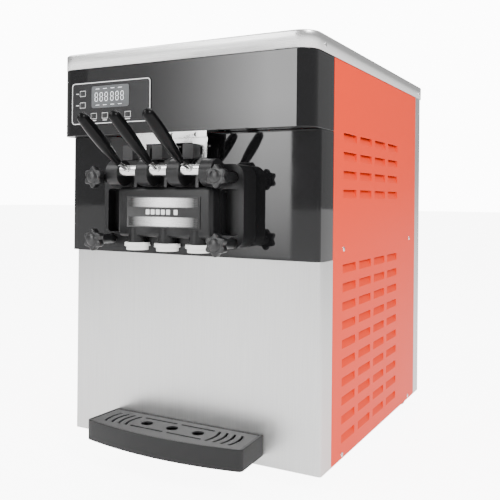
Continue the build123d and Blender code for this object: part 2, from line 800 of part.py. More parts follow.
# ---------------------------------------------------------------- switch bracket
bracket_y = (slab_face + bracket_front, fascia_face)
tab_y = bracket_y[0] + 2 * sheet
strip_top = hood_low - bracket_flange - bracket_slit
strip_low = strip_top - bracket_strip
bracket_x = (lever_x[0] + tab_offset - bracket_end, lever_x[-1] + tab_offset + bracket_tab_width
             + bracket_end)
flange_x = (bracket_x[1] - bracket_flange_width, bracket_x[1])
with BuildPart() as switch_bracket:
    block(bracket_x, (bracket_y[0], bracket_y[1] - seam), (hood_low - sheet, hood_low))
    block(flange_x, (bracket_y[0], bracket_y[0] + sheet), (hood_low - bracket_flange, hood_low))
    block(bracket_x, (tab_y, tab_y + sheet), (strip_low, hood_low - sheet))
    for x in lever_x:
        tab_x = x + tab_offset
        block((tab_x, tab_x + bracket_tab_width), (tab_y, tab_y + sheet),
              (hood_low - bracket_flange - bracket_slit - bracket_strip - bracket_tab, strip_low))
        with BuildSketch(facing_front(tab_y + 2 * sheet)):
            with Locations((tab_x + tab_slot_offset, strip_low - bracket_tab / 2)):
                SlotOverall(tab_slot[1], tab_slot[0], rotation=90)
        extrude(amount=3 * sheet, mode=Mode.SUBTRACT)
    for hole_x in (flange_x[0] + bracket_flange, flange_x[1] - 2 * bracket_flange):
        rod("Y", bracket_y[0] - sheet, bracket_y[0] + sheet, (hole_x, hood_low - bracket_flange / 2),
            screw_head, Mode.SUBTRACT)
finish(switch_bracket, "switch_bracket")

with BuildPart() as microswitches:
    for x in lever_x:
        switch_x = x + switch_offset
        switch_top = strip_low - bracket_slit
        block((switch_x, switch_x + switch_width), (tab_y - switch_depth, tab_y),
              (switch_top - switch_height, switch_top))
finish(microswitches, "microswitches")

# ---------------------------------------------------------------- freezing cylinders and drive
with BuildPart() as freezing_cylinders:
    for side in (-1, 1):
        across = (side * lever_pitch, cylinder_z)
        rod("Y", cylinder_front, cylinder_rear, across, cylinder_outer)
        rod("Y", cylinder_front, cylinder_rear - cylinder_floor, across, cylinder_inner, Mode.SUBTRACT)
        rod("Y", cylinder_rear - cylinder_floor, cylinder_rear, across, shaft_radius + running_gap,
            Mode.SUBTRACT)
        rod("Z", cylinder_z, cylinder_z + cylinder_outer, (side * lever_pitch, front_face + feed_y),
            feed_radius + running_gap, Mode.SUBTRACT)
finish(freezing_cylinders, "freezing_cylinders")

for side_name, side_sign in left_right:
    x = side_sign * lever_pitch
    with BuildPart() as beater:
        rod("Y", fascia_face - chamber_depth / 2, cylinder_rear + reducer_grip, (x, cylinder_z),
            shaft_radius)
        scraper_y = (cylinder_front + scraper_end_gap, cylinder_rear - cylinder_floor - scraper_end_gap)
        for blade_side in (-1, 1):
            edge = blade_radius - scraper_depth
            block((x - scraper_thick / 2, x + scraper_thick / 2), scraper_y,
                  sorted((cylinder_z + blade_side * edge, cylinder_z + blade_side * blade_reach)))
        arm_step = (scraper_y[1] - scraper_y[0] - scraper_end_gap) / (scraper_arms - 1)
        for arm in range(scraper_arms):
            arm_y = scraper_y[0] + arm * arm_step
            block((x - scraper_thick, x + scraper_thick), (arm_y, arm_y + scraper_end_gap),
                  (cylinder_z - edge, cylinder_z + edge))
    finish(beater, f"beater_{side_name}")

with BuildPart() as gear_reducers:
    for side in (-1, 1):
        x = side * lever_pitch
        block((x - reducer_size / 2, x + reducer_size / 2), (cylinder_rear, reducer_rear),
              (cylinder_z - reducer_size / 2, cylinder_z + reducer_size / 2))
    fillet(gear_reducers.edges().filter_by(Axis.Y), pocket_round)
    for side in (-1, 1):
        across = (side * lever_pitch, cylinder_z)
        rod("Y", cylinder_rear, cylinder_rear + reducer_grip + 1, across, shaft_radius + running_gap,
            Mode.SUBTRACT)
        rod("Y", reducer_rear - drive_grip - 1, reducer_rear, across, drive_shaft + running_gap,
            Mode.SUBTRACT)
finish(gear_reducers, "gear_reducers")

pulley_y = (pulley_front, pulley_front + pulley_width)
belt_y = (pulley_front + (pulley_width - belt_width) / 2, pulley_front + (pulley_width + belt_width) / 2)


def pulley(x, z, radius):
    """A belt pulley with its shaft, which reaches forward into the bore that carries it."""
    with BuildPart() as wheel:
        for span in ((pulley_y[0], belt_y[0] - belt_gap), (belt_y[1] + belt_gap, pulley_y[1])):
            rod("Y", span[0], span[1], (x, z), radius + belt_thick / 2)
        rod("Y", pulley_y[0], pulley_y[1], (x, z), radius)
        rod("Y", reducer_rear - drive_grip, pulley_y[0], (x, z), drive_shaft)
    return wheel


for side_name, side_sign in left_right:
    finish(pulley(side_sign * lever_pitch, cylinder_z, driven_radius), f"driven_pulley_{side_name}")
finish(pulley(0.0, motor_z, driver_radius), "motor_pulley")

with BuildPart() as drive_belt:
    for growth, mode in ((belt_gap + belt_thick, Mode.ADD), (belt_gap, Mode.SUBTRACT)):
        with BuildSketch(facing_front(belt_y[1])):
            with Locations((-lever_pitch, cylinder_z), (lever_pitch, cylinder_z)):
                Circle(driven_radius + growth)
            with Locations((0, motor_z)):
                Circle(driver_radius + growth)
            make_hull()
        extrude(amount=belt_width, mode=mode)
finish(drive_belt, "drive_belt")

motor_y = (reducer_rear - motor_length, reducer_rear)
with BuildPart() as drive_motor:
    rod("Y", motor_y[0], motor_y[1], (0, motor_z), motor_radius)
    fillet(drive_motor.edges().filter_by(GeomType.CIRCLE), pocket_round)
    stand_y = sum(motor_y) / 2
    block((-stand_width / 2, stand_width / 2), (stand_y - stand_length / 2, stand_y + stand_length / 2),
          (floor_z, motor_z - motor_radius / 2))
    block((-stand_width / 2 + 2 * sheet, stand_width / 2 - 2 * sheet),
          (stand_y - stand_length / 2, stand_y + stand_length / 2),
          (floor_z + 2 * sheet, stand_top - 2 * sheet), Mode.SUBTRACT)
    rod("Y", reducer_rear - drive_grip - 1, reducer_rear, (0, motor_z), drive_shaft + running_gap,
        Mode.SUBTRACT)
finish(drive_motor, "drive_motor")

# ---------------------------------------------------------------- cooling
compressor_place = (-half_width + compressor_side, rear_face - compressor_rear)
with BuildPart() as compressor:
    with BuildSketch(Plane.XY.offset(floor_z)):
        with Locations(compressor_place):
            RectangleRounded(2 * compressor_radius, 2 * compressor_radius, compressor_plate)
    extrude(amount=compressor_plate)
    with BuildSketch(Plane.XY.offset(floor_z + compressor_plate)):
        with Locations(compressor_place):
            Circle(compressor_radius)
    extrude(amount=compressor_height)
    fillet(compressor.edges().group_by(Axis.Z)[-1], compressor_round)
finish(compressor, "compressor")

condenser_x = (half_width - condenser_side - condenser_thick, half_width - condenser_side)
condenser_y = (front_face + condenser_front, rear_face - condenser_rear)
condenser_z = (floor_z, fascia_low - condenser_top_gap)
with BuildPart() as condenser:
    block(condenser_x, condenser_y, condenser_z)
    fin_pitch = (condenser_z[1] - condenser_z[0] - condenser_low) / fin_count
    for fin in range(fin_count):
        slit_z = condenser_z[0] + condenser_low + fin * fin_pitch
        for depth in ((condenser_x[0], condenser_x[0] + condenser_thick / 4),
                      (condenser_x[1] - condenser_thick / 4, condenser_x[1])):
            block(depth, (condenser_y[0] + condenser_low, condenser_y[1] - condenser_low),
                  (slit_z, slit_z + fin_slit), Mode.SUBTRACT)
finish(condenser, "condenser")

fan_room = min(condenser_z[1] - condenser_z[0], condenser_y[1] - condenser_y[0]) / 2
fan_radius = fan_room - fan_edge_gap
fan_y = sum(condenser_y) / 2
fan_z = sum(condenser_z) / 2
fan_x = condenser_x[0] - fan_face_gap - fan_hub_length / 2
fan_motor_x = (fan_x - fan_hub_length / 2 - 1 - fan_motor_length, fan_x - fan_hub_length / 2 - 1)
with BuildPart(Plane(origin=(fan_x, fan_y, fan_z), z_dir=(1, 0, 0))) as fan_blade:
    Cylinder(fan_hub_radius, fan_hub_length)
    blade_reach = fan_radius - fan_hub_radius + sheet
    with PolarLocations((fan_radius + fan_hub_radius - sheet) / 2, fan_blades):
        Box(blade_reach, fan_chord, fan_blade_thick, rotation=(fan_tilt, 0, 0))
    Cylinder(drive_shaft, fan_hub_length / 2 + reducer_grip,
             align=(Align.CENTER, Align.CENTER, Align.MAX))
finish(fan_blade, "fan_blade")

with BuildPart() as fan_motor:
    rod("X", fan_motor_x[0], fan_motor_x[1], (fan_y, fan_z), fan_motor_radius)
    block((fan_motor_x[0], fan_motor_x[0] + fan_stand), (fan_y - fan_stand, fan_y + fan_stand),
          (floor_z, fan_z))
    rod("X", fan_motor_x[1] - reducer_grip, fan_motor_x[1], (fan_y, fan_z), drive_shaft + running_gap,
        Mode.SUBTRACT)
finish(fan_motor, "fan_motor")

# ---------------------------------------------------------------- hoppers
hopper_low = lid_top - basin_depth
flange_top = lid_top + basin_wall
hopper_half = basin_gap / 2 + basin_width + hopper_flange
with BuildPart() as twin_hopper:
    block((-hopper_half, hopper_half), (basin_y[0] - hopper_flange, basin_y[1] + hopper_flange),
          (lid_top, flange_top))
    for shrink, low, mode in ((0.0, hopper_low, Mode.ADD),
                              (basin_wall, hopper_low + basin_wall, Mode.SUBTRACT)):
        with BuildSketch(Plane.XY.offset(low)):
            for x in basin_places:
                with Locations((x, sum(basin_y) / 2)):
                    RectangleRounded(basin_width - 2 * shrink, basin_length - 2 * shrink,
                                     basin_corner - shrink)
        extrude(amount=flange_top - low, mode=mode)
    for side in (-1, 1):
        rod("Z", hopper_low, hopper_low + 2 * basin_wall, (side * lever_pitch, front_face + feed_y),
            feed_radius + running_gap, Mode.SUBTRACT)
finish(twin_hopper, "twin_hopper")

with BuildPart() as feed_tubes:
    for side in (-1, 1):
        across = (side * lever_pitch, front_face + feed_y)
        feed_low = cylinder_z + cylinder_inner + seam
        rod("Z", feed_low, hopper_low + feed_stand, across, feed_radius)
        rod("Z", feed_low, hopper_low + feed_stand, across, feed_bore, Mode.SUBTRACT)
finish(feed_tubes, "feed_tubes")

for (side_name, side_sign), x in zip(left_right, basin_places):
    with BuildPart() as hopper_lid:
        rim = (basin_width + lid_rim, basin_length + lid_rim)
        plug_size = (basin_width - 2 * (basin_wall + lid_plug_gap),
                     basin_length - 2 * (basin_wall + lid_plug_gap))
        inside = (plug_size[0] - 2 * lid_sheet, plug_size[1] - 2 * lid_sheet)
        layers = ((flange_top, lid_sheet, rim, lid_corner, Mode.ADD),
                  (flange_top - lid_plug, lid_plug, plug_size, lid_corner, Mode.ADD),
                  (flange_top - lid_plug, lid_plug, inside, lid_corner - lid_sheet, Mode.SUBTRACT))
        for low, height, size, corner, mode in layers:
            with BuildSketch(Plane.XY.offset(low)):
                with Locations((x, sum(basin_y) / 2)):
                    RectangleRounded(*size, corner)
            extrude(amount=height, mode=mode)
        grip_low = flange_top + lid_sheet
        grip_x = (x - lid_grip_length / 2, x + lid_grip_length / 2)
        grip_y = (sum(basin_y) / 2 - lid_grip_size / 2, sum(basin_y) / 2 + lid_grip_size / 2)
        block(grip_x, grip_y, (grip_low, grip_low + lid_grip_height))
        block((grip_x[0] + lid_grip_size, grip_x[1] - lid_grip_size), grip_y,
              (grip_low, grip_low + lid_grip_height - lid_grip_size), Mode.SUBTRACT)
    finish(hopper_lid, f"hopper_lid_{side_name}")

# ---------------------------------------------------------------- drip tray
tray_top = tray_low + tray_height
tray_rear = front_face - tray_gap


def tray_outline(shrink):
    """The tray's plan outline: a straight back and a bowed front, drawn a wall's width inwards."""
    with BuildSketch() as plan:
        with BuildLine():
            Polyline((-tray_front_half, front_face - tray_side_depth), (-tray_back_half, tray_rear),
                     (tray_back_half, tray_rear), (tray_front_half, front_face - tray_side_depth))
            ThreePointArc((tray_front_half, front_face - tray_side_depth), (0, front_face - tray_depth),
                          (-tray_front_half, front_face - tray_side_depth))
        make_face()
        fillet(plan.vertices().group_by(Axis.Y)[0], tray_corner)
        if shrink:
            offset(amount=-shrink, kind=Kind.INTERSECTION)
    return plan.sketch


grid_top = tray_top - grid_sink
grid_low = grid_top - grid_thick
with BuildPart() as drip_tray:
    extrude(Plane.XY.offset(tray_low) * tray_outline(0), amount=tray_height)
    extrude(Plane.XY.offset(tray_low + tray_floor) * tray_outline(tray_rim + tray_wall),
            amount=tray_height, mode=Mode.SUBTRACT)
    extrude(Plane.XY.offset(grid_low) * tray_outline(tray_rim), amount=tray_height, mode=Mode.SUBTRACT)
    for side in (-1, 1):
        hook_x = side * hook_pitch / 2
        block((hook_x - hook_width / 2 - hook_gap, hook_x + hook_width / 2 + hook_gap),
              (front_face - hook_reach - hook_gap, front_face),
              (hook_z - hook_gap, hook_z + hook_thick + hook_gap), Mode.SUBTRACT)
finish(drip_tray, "drip_tray")

with BuildPart() as drip_grid:
    extrude(Plane.XY.offset(grid_low) * tray_outline(tray_rim + tray_gap), amount=grid_thick)
    with BuildSketch(Plane.XY.offset(grid_low)):
        with Locations((0, front_face - grid_hole_y)):
            with GridLocations(grid_hole_pitch, 1, grid_holes, 1):
                Circle(grid_hole_radius)
            with GridLocations(1, 2 * grid_cross_slot_y, 1, 2):
                SlotOverall(grid_long_slot, grid_slot_width)
        slot_y = (front_face - grid_hole_y - grid_side_slot_length / 2,
                  front_face - grid_hole_y + grid_side_slot_length / 2)
        for side in (-1, 1):
            for slot in range(grid_side_slots):
                slot_x = side * (grid_side_slot_x + slot * grid_side_slot_pitch)
                with BuildLine(mode=Mode.PRIVATE) as slot_line:
                    ThreePointArc((slot_x, slot_y[0]),
                                  (slot_x + side * grid_side_slot_bow, front_face - grid_hole_y),
                                  (slot_x, slot_y[1]))
                SlotArc(slot_line.edge(), grid_slot_width)
    extrude(amount=grid_thick, mode=Mode.SUBTRACT)
finish(drip_grid, "drip_grid")

print(f"front plane at y {front_face:.2f}, plunger travel "
      f"{2 * toe_length * math.sin(math.radians(toe_angle)):.2f} mm")
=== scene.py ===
# %% [markdown]
# # A countertop soft serve machine
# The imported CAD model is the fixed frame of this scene: it holds every size, joint and body.
# Each cell below dresses one piece of the machine. Most visible pieces are modelled again with
# bmesh operators, because rounded edges and pressed louvres need cleaner meshes than CAD triangles,
# and the inner machinery keeps its CAD mesh and only gets a finish.

# %% Load the frame
import math

import bmesh
import bpy
from mathutils import Matrix, Vector


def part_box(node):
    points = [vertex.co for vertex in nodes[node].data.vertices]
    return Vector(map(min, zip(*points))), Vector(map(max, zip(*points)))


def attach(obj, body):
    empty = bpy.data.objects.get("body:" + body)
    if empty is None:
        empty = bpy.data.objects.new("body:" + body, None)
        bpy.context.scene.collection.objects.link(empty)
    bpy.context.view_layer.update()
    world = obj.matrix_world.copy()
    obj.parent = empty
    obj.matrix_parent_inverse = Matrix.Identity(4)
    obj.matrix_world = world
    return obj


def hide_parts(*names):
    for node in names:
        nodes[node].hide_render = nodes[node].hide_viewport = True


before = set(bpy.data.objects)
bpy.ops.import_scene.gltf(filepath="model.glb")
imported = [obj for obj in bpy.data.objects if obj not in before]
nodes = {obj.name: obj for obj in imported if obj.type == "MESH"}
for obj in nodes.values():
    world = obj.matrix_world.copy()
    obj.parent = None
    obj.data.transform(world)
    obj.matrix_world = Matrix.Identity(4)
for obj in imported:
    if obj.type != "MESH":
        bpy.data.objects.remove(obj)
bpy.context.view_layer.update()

MM = 0.001


# %% [markdown]
# ## Small modelling tools
# A bmesh is Blender's editable mesh. Every helper below adds one simple shape to a bmesh with an
# operator and hands back its new vertices, so that a piece reads as a short list of steps.

# %% Boxes and rods
def add_box(bm, low, high):
    """A block between two corners, given in metres."""
    made = bmesh.ops.create_cube(bm, size=1.0)["verts"]
    low, high = Vector(low), Vector(high)
    bmesh.ops.scale(bm, vec=high - low, verts=made)
    bmesh.ops.translate(bm, vec=(low + high) / 2, verts=made)
    return made


TURNS = {"X": Matrix.Rotation(math.pi / 2, 3, "Y"), "Y": Matrix.Rotation(-math.pi / 2, 3, "X"),
         "Z": Matrix.Identity(3)}


def add_rod(bm, axis, start, end, across, radius, end_radius=None, segments=40):
    """A round bar along a row axis; across holds its other two coordinates in X, Y, Z order."""
    made = bmesh.ops.create_cone(bm, cap_ends=True, segments=segments, radius1=radius,
                                 radius2=radius if end_radius is None else end_radius,
                                 depth=end - start)["verts"]
    bmesh.ops.rotate(bm, matrix=TURNS[axis], verts=made)
    middle = (start + end) / 2
    place = {"X": (middle, *across), "Y": (across[0], middle, across[1]), "Z": (*across, middle)}[axis]
    bmesh.ops.translate(bm, vec=place, verts=made)
    return made


def edges_along(verts, axis, test=None):
    """The straight edges among verts that run along one axis (0, 1 or 2)."""
    found = set()
    for vert in verts:
        for edge in vert.link_edges:
            run = edge.verts[1].co - edge.verts[0].co
            others = [abs(run[i]) for i in range(3) if i != axis]
            if abs(run[axis]) > 1e-5 and max(others) < 1e-6 and (test is None or test(edge)):
                found.add(edge)
    return list(found)


def round_edges(bm, edges, width, segments=6):
    """Rounds edges to a radius."""
    return bmesh.ops.bevel(bm, geom=edges, offset=width, offset_type="OFFSET", affect="EDGES",
                           segments=segments, profile=0.5, material=-1, clamp_overlap=True)


def faces_facing(bm, direction, limit=0.999):
    """The faces whose normal points along a direction."""
    bm.normal_update()
    direction = Vector(direction)
    return [face for face in bm.faces if face.normal.dot(direction) > limit]


# %% [markdown]
# ## Cutting holes
# Pockets, counterbores and slots are cut with Blender's exact boolean. The cutter is a second bmesh,
# and both become temporary objects that are removed again, so nothing but the result stays.

# %% Carve one bmesh out of another
def temporary(bm, name):
    mesh = bpy.data.meshes.new(name)
    bm.to_mesh(mesh)
    bm.free()
    obj = bpy.data.objects.new(name, mesh)
    bpy.context.scene.collection.objects.link(obj)
    return obj


def carve(bm, cutter, operation="DIFFERENCE"):
    """The solid in bm with the cutter taken away, as a new bmesh."""
    kept, knife = temporary(bm, "kept"), temporary(cutter, "knife")
    tool = kept.modifiers.new("cut", "BOOLEAN")
    tool.operation = operation
    tool.solver = "EXACT"
    tool.use_self = True
    tool.object = knife
    result = bmesh.new()
    result.from_object(kept, bpy.context.evaluated_depsgraph_get())
    for obj in (kept, knife):
        mesh = obj.data
        bpy.data.objects.remove(obj)
        bpy.data.meshes.remove(mesh)
    return result


# %% [markdown]
# ## From bmesh to finished piece
# A piece gets smooth shading with its real corners kept sharp, a small rounding from the Bevel
# modifier, its finishes, and its place in the frame: the body it rides on and the nodes it stands for.

# %% Turn a bmesh into a piece
def piece(name, bm, body, materials, replaces=(), rounding=0.0, rounds=3, sheet=0.0, sharp=32.0):
    """Makes the object, rides it on its body and hides the CAD nodes it stands for."""
    for face in bm.faces:
        face.smooth = True
    for edge in bm.edges:
        edge.smooth = not (len(edge.link_faces) == 2 and edge.calc_face_angle(0.0) > math.radians(sharp))
    mesh = bpy.data.meshes.new(name)
    bm.to_mesh(mesh)
    bm.free()
    obj = bpy.data.objects.new(name, mesh)
    bpy.context.scene.collection.objects.link(obj)
    for material in materials if isinstance(materials, (list, tuple)) else [materials]:
        mesh.materials.append(material)
    if sheet:
        wall = obj.modifiers.new("sheet", "SOLIDIFY")
        wall.thickness = sheet
        wall.offset = -1.0
        wall.use_even_offset = True
    if rounding:
        bevel = obj.modifiers.new("rounding", "BEVEL")
        bevel.width = rounding
        bevel.segments = rounds
        bevel.limit_method = "ANGLE"
        bevel.angle_limit = math.radians(sharp)
        bevel.harden_normals = True
    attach(obj, body)
    if replaces:
        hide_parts(*replaces)
    return obj


# %% [markdown]
# ## Finishes
# Each finish is one Principled shader. Its even values are set straight on the shader, and a fine
# noise in Object coordinates gives what the hand would feel: brushing, moulded grain, orange peel.

# %% A shader with grain
def finish(name, colour, roughness, metallic=0.0, **extra):
    """A new material with one Principled shader; extra holds further sockets by name."""
    material = bpy.data.materials.new(name)
    material.use_nodes = True
    shader = material.node_tree.nodes["Principled BSDF"]
    values = {"Base Color": (*colour, 1.0), "Roughness": roughness, "Metallic": metallic, **extra}
    for socket, value in values.items():
        shader.inputs[socket].default_value = value
    return material


def add_grain(material, scale, bump, distance, stretch=(1, 1, 1), rough=None, tint=None, detail=3.0):
    """Adds a noise that lifts the surface and, where asked, varies its roughness and colour."""
    tree = material.node_tree
    shader = tree.nodes["Principled BSDF"]
    coords = tree.nodes.new("ShaderNodeTexCoord")
    mapping = tree.nodes.new("ShaderNodeMapping")
    mapping.inputs["Scale"].default_value = stretch
    noise = tree.nodes.new("ShaderNodeTexNoise")
    noise.inputs["Scale"].default_value = scale
    noise.inputs["Detail"].default_value = detail
    tree.links.new(coords.outputs["Object"], mapping.inputs["Vector"])
    tree.links.new(mapping.outputs["Vector"], noise.inputs["Vector"])
    if bump:
        lift = tree.nodes.new("ShaderNodeBump")
        lift.inputs["Strength"].default_value = bump
        lift.inputs["Distance"].default_value = distance
        tree.links.new(noise.outputs["Fac"], lift.inputs["Height"])
        tree.links.new(lift.outputs["Normal"], shader.inputs["Normal"])
    if rough:
        spread = tree.nodes.new("ShaderNodeMapRange")
        spread.inputs["From Min"].default_value = 0.3
        spread.inputs["From Max"].default_value = 0.7
        spread.inputs["To Min"].default_value = rough[0]
        spread.inputs["To Max"].default_value = rough[1]
        tree.links.new(noise.outputs["Fac"], spread.inputs["Value"])
        tree.links.new(spread.outputs["Result"], shader.inputs["Roughness"])
    if tint:
        ramp = tree.nodes.new("ShaderNodeValToRGB")
        ramp.color_ramp.elements[0].position = 0.3
        ramp.color_ramp.elements[1].position = 0.7
        ramp.color_ramp.elements[0].color = (*tint[0], 1.0)
        ramp.color_ramp.elements[1].color = (*tint[1], 1.0)
        tree.links.new(noise.outputs["Fac"], ramp.inputs["Fac"])
        tree.links.new(ramp.outputs["Color"], shader.inputs["Base Color"])
    return material


# %% Metals
# Sheet steel is brushed along its height, so its noise is stretched into long upright streaks.
brushed_steel = add_grain(finish("brushed_steel", (0.66, 0.66, 0.655), 0.36, 1.0, Anisotropic=0.5),
                          900.0, 0.05, 0.0002, stretch=(1.0, 1.0, 0.012), rough=(0.30, 0.42),
                          tint=((0.63, 0.63, 0.625), (0.70, 0.70, 0.695)))
cover_steel = add_grain(finish("cover_steel", (0.72, 0.72, 0.715), 0.3, 1.0, Anisotropic=0.5),
                        900.0, 0.05, 0.0002, stretch=(0.012, 1.0, 1.0), rough=(0.24, 0.36),
                        tint=((0.70, 0.70, 0.695), (0.76, 0.76, 0.755)))
bright_steel = add_grain(finish("bright_steel", (0.78, 0.78, 0.775), 0.2, 1.0), 260.0, 0.04, 0.0002,
                         rough=(0.14, 0.26))
galvanised = add_grain(finish("galvanised", (0.52, 0.54, 0.55), 0.45, 1.0), 60.0, 0.0, 0.0,
                       rough=(0.35, 0.55), tint=((0.45, 0.47, 0.48), (0.6, 0.62, 0.63)))
fin_metal = add_grain(finish("fin_metal", (0.7, 0.71, 0.72), 0.4, 1.0), 400.0, 0.1, 0.0003,
                      stretch=(1.0, 1.0, 0.1), rough=(0.3, 0.5))
foil = add_grain(finish("plate_foil", (0.8, 0.8, 0.8), 0.28, 1.0), 1200.0, 0.05, 0.0001,
                 stretch=(0.02, 1.0, 1.0), rough=(0.2, 0.34))

# %% Paints and plastics
orange_coat = add_grain(finish("orange_paint", (0.84, 0.026, 0.002), 0.42,
                               **{"Specular IOR Level": 0.08}), 420.0, 0.10, 0.0002,
                        rough=(0.34, 0.42), tint=((0.82, 0.038, 0.005), (0.86, 0.042, 0.007)))
gloss_black = add_grain(finish("gloss_black_sheet", (0.006, 0.006, 0.0065), 0.045), 18.0, 0.02, 0.0002,
                        rough=(0.03, 0.06))
black_moulding = add_grain(finish("black_moulding", (0.008, 0.008, 0.0085), 0.36,
                                  **{"Specular IOR Level": 0.3}), 1500.0, 0.12, 0.0001,
                           rough=(0.30, 0.42))
handle_black = add_grain(finish("handle_black", (0.003, 0.003, 0.0033), 0.2,
                                **{"Specular IOR Level": 0.12}), 900.0, 0.04, 0.0001,
                         rough=(0.15, 0.25))
tray_black = add_grain(finish("tray_plastic", (0.006, 0.006, 0.0065), 0.4,
                              **{"Specular IOR Level": 0.35}), 1400.0, 0.1, 0.0001,
                       rough=(0.36, 0.5))
grid_grey = add_grain(finish("grid_plastic", (0.03, 0.03, 0.031), 0.45), 1400.0, 0.12, 0.0001,
                      rough=(0.4, 0.52))
nozzle_white = add_grain(finish("nozzle_plastic", (0.86, 0.86, 0.84), 0.35), 800.0, 0.04, 0.0001,
                         rough=(0.3, 0.42))
rubber = add_grain(finish("rubber", (0.012, 0.012, 0.012), 0.7), 700.0, 0.2, 0.0002, rough=(0.6, 0.8))
part_black = add_grain(finish("black_parts", (0.010, 0.010, 0.0105), 0.3), 900.0, 0.06, 0.0001,
                       rough=(0.26, 0.4))
cast_black = add_grain(finish("cast_black", (0.012, 0.012, 0.0125), 0.5), 220.0, 0.3, 0.0006,
                       rough=(0.4, 0.6))
panel_film = add_grain(finish("panel_film", (0.012, 0.012, 0.013), 0.12), 30.0, 0.01, 0.0001,
                       rough=(0.09, 0.15))
print_white = add_grain(finish("print_white", (0.8, 0.8, 0.8), 0.4), 900.0, 0.02, 0.0001,
                        rough=(0.35, 0.45))
display_back = add_grain(finish("display", (0.10, 0.105, 0.11), 0.15), 40.0, 0.0, 0.0,
                         rough=(0.1, 0.2), tint=((0.09, 0.095, 0.1), (0.115, 0.12, 0.125)))
display_glow = finish("display_glow", (0.8, 0.82, 0.84), 0.4)
display_glow.node_tree.nodes["Principled BSDF"].inputs["Emission Color"].default_value = (0.85, 0.9, 1, 1)
display_glow.node_tree.nodes["Principled BSDF"].inputs["Emission Strength"].default_value = 0.55
print("finishes", len(bpy.data.materials))

# %% [markdown]
# ## Camera, floor and light
# The camera stands a little to the right of the machine and level with its middle. A small upward
# lens shift frames the whole cabinet without tilting the camera, so its corners stay upright. Big
# soft area lights and a white world make the broad, clean reflections of a product studio.

# %% Camera
side_low, side_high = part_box("side_panel_right")
return_depth = 48 * MM
front = side_low[1] - return_depth
camera_azimuth = math.radians(28.05)
camera_roll = math.radians(0.54)
camera_place = Vector((715.6 * MM, -1099.3 * MM + front, 501.4 * MM))

camera_data = bpy.data.cameras.new("camera")
camera_data.sensor_width = 36.0
camera_data.lens = 50.3
camera_data.shift_y = -0.1034
camera = bpy.data.objects.new("camera", camera_data)
camera.location = camera_place
camera.rotation_euler = (Matrix.Rotation(camera_azimuth, 3, "Z") @ Matrix.Rotation(math.pi / 2, 3, "X")
                         @ Matrix.Rotation(camera_roll, 3, "Z")).to_euler()
bpy.context.scene.collection.objects.link(camera)
bpy.context.scene.camera = camera


# %% Floor, world and area lights
def area_light(name, place, target, size, power, colour=(1, 1, 1)):
    """A rectangular softbox at place, turned to face target."""
    data = bpy.data.lights.new(name, "AREA")
    data.shape = "RECTANGLE"
    data.size, data.size_y = size
    data.energy = power
    data.color = colour
    light = bpy.data.objects.new(name, data)
    light.location = place
    light.rotation_euler = (Vector(target) - Vector(place)).to_track_quat("-Z", "Y").to_euler()
    bpy.context.scene.collection.objects.link(light)


def stage_plane(name, low, high, material):
    """A flat stage piece between two corners of a box that has no thickness along one axis."""
    bm = bmesh.new()
    add_box(bm, low, high)
    mesh = bpy.data.meshes.new(name)
    bm.to_mesh(mesh)
    bm.free()
    mesh.materials.append(material)
    obj = bpy.data.objects.new(name, mesh)
    bpy.context.scene.collection.objects.link(obj)


floor_material = add_grain(finish("pale_floor", (0.9, 0.9, 0.9), 0.7), 30.0, 0.0, 0.0, rough=(0.6, 0.8))
floor_shader = floor_material.node_tree.nodes["Principled BSDF"]
floor_shader.inputs["Emission Color"].default_value = (1, 1, 1, 1)
stage_plane("floor", (-30, -30, -0.01), (30, 30, 0), floor_material)


def seen_or_lit(tree, lit, seen, socket):
    """One strength as the camera sees a surface, and a lower one for the light that it gives."""
    rays = tree.nodes.new("ShaderNodeLightPath")
    choice = tree.nodes.new("ShaderNodeMapRange")
    choice.inputs["To Min"].default_value = lit
    choice.inputs["To Max"].default_value = seen
    tree.links.new(rays.outputs["Is Camera Ray"], choice.inputs["Value"])
    tree.links.new(choice.outputs["Result"], socket)


seen_or_lit(floor_material.node_tree, 0.9, 8.0, floor_shader.inputs["Emission Strength"])

softbox_material = finish("softbox", (0.8, 0.8, 0.8), 0.5)
softbox_tree = softbox_material.node_tree
softbox_coords = softbox_tree.nodes.new("ShaderNodeTexCoord")
softbox_split = softbox_tree.nodes.new("ShaderNodeSeparateXYZ")
softbox_tree.links.new(softbox_coords.outputs["Object"], softbox_split.inputs["Vector"])


def softbox_fade(axis, dark_at, bright_at, brightest):
    """Brightness that grows along one axis of the softbox."""
    fade = softbox_tree.nodes.new("ShaderNodeMapRange")
    for socket, value in (("From Min", dark_at), ("From Max", bright_at), ("To Max", brightest)):
        fade.inputs[socket].default_value = value
    softbox_tree.links.new(softbox_split.outputs[axis], fade.inputs["Value"])
    return fade.outputs["Result"]


def softbox_product(first, second):
    """Two brightness values multiplied."""
    product = softbox_tree.nodes.new("ShaderNodeMath")
    product.operation = "MULTIPLY"
    softbox_tree.links.new(first, product.inputs[0])
    softbox_tree.links.new(second, product.inputs[1])
    return product.outputs["Value"]


across = softbox_fade("X", -1.8, -0.8, 1.0)
brightness = softbox_product(softbox_product(across, across), softbox_fade("Z", 0.1, 1.0, 10.5))
softbox_shader = softbox_tree.nodes["Principled BSDF"]
softbox_shader.inputs["Emission Color"].default_value = (1, 1, 1, 1)
softbox_tree.links.new(brightness, softbox_shader.inputs["Emission Strength"])
stage_plane("softbox", (-2.2, -2.42, 0.2), (-0.58, -2.4, 2.0), softbox_material)

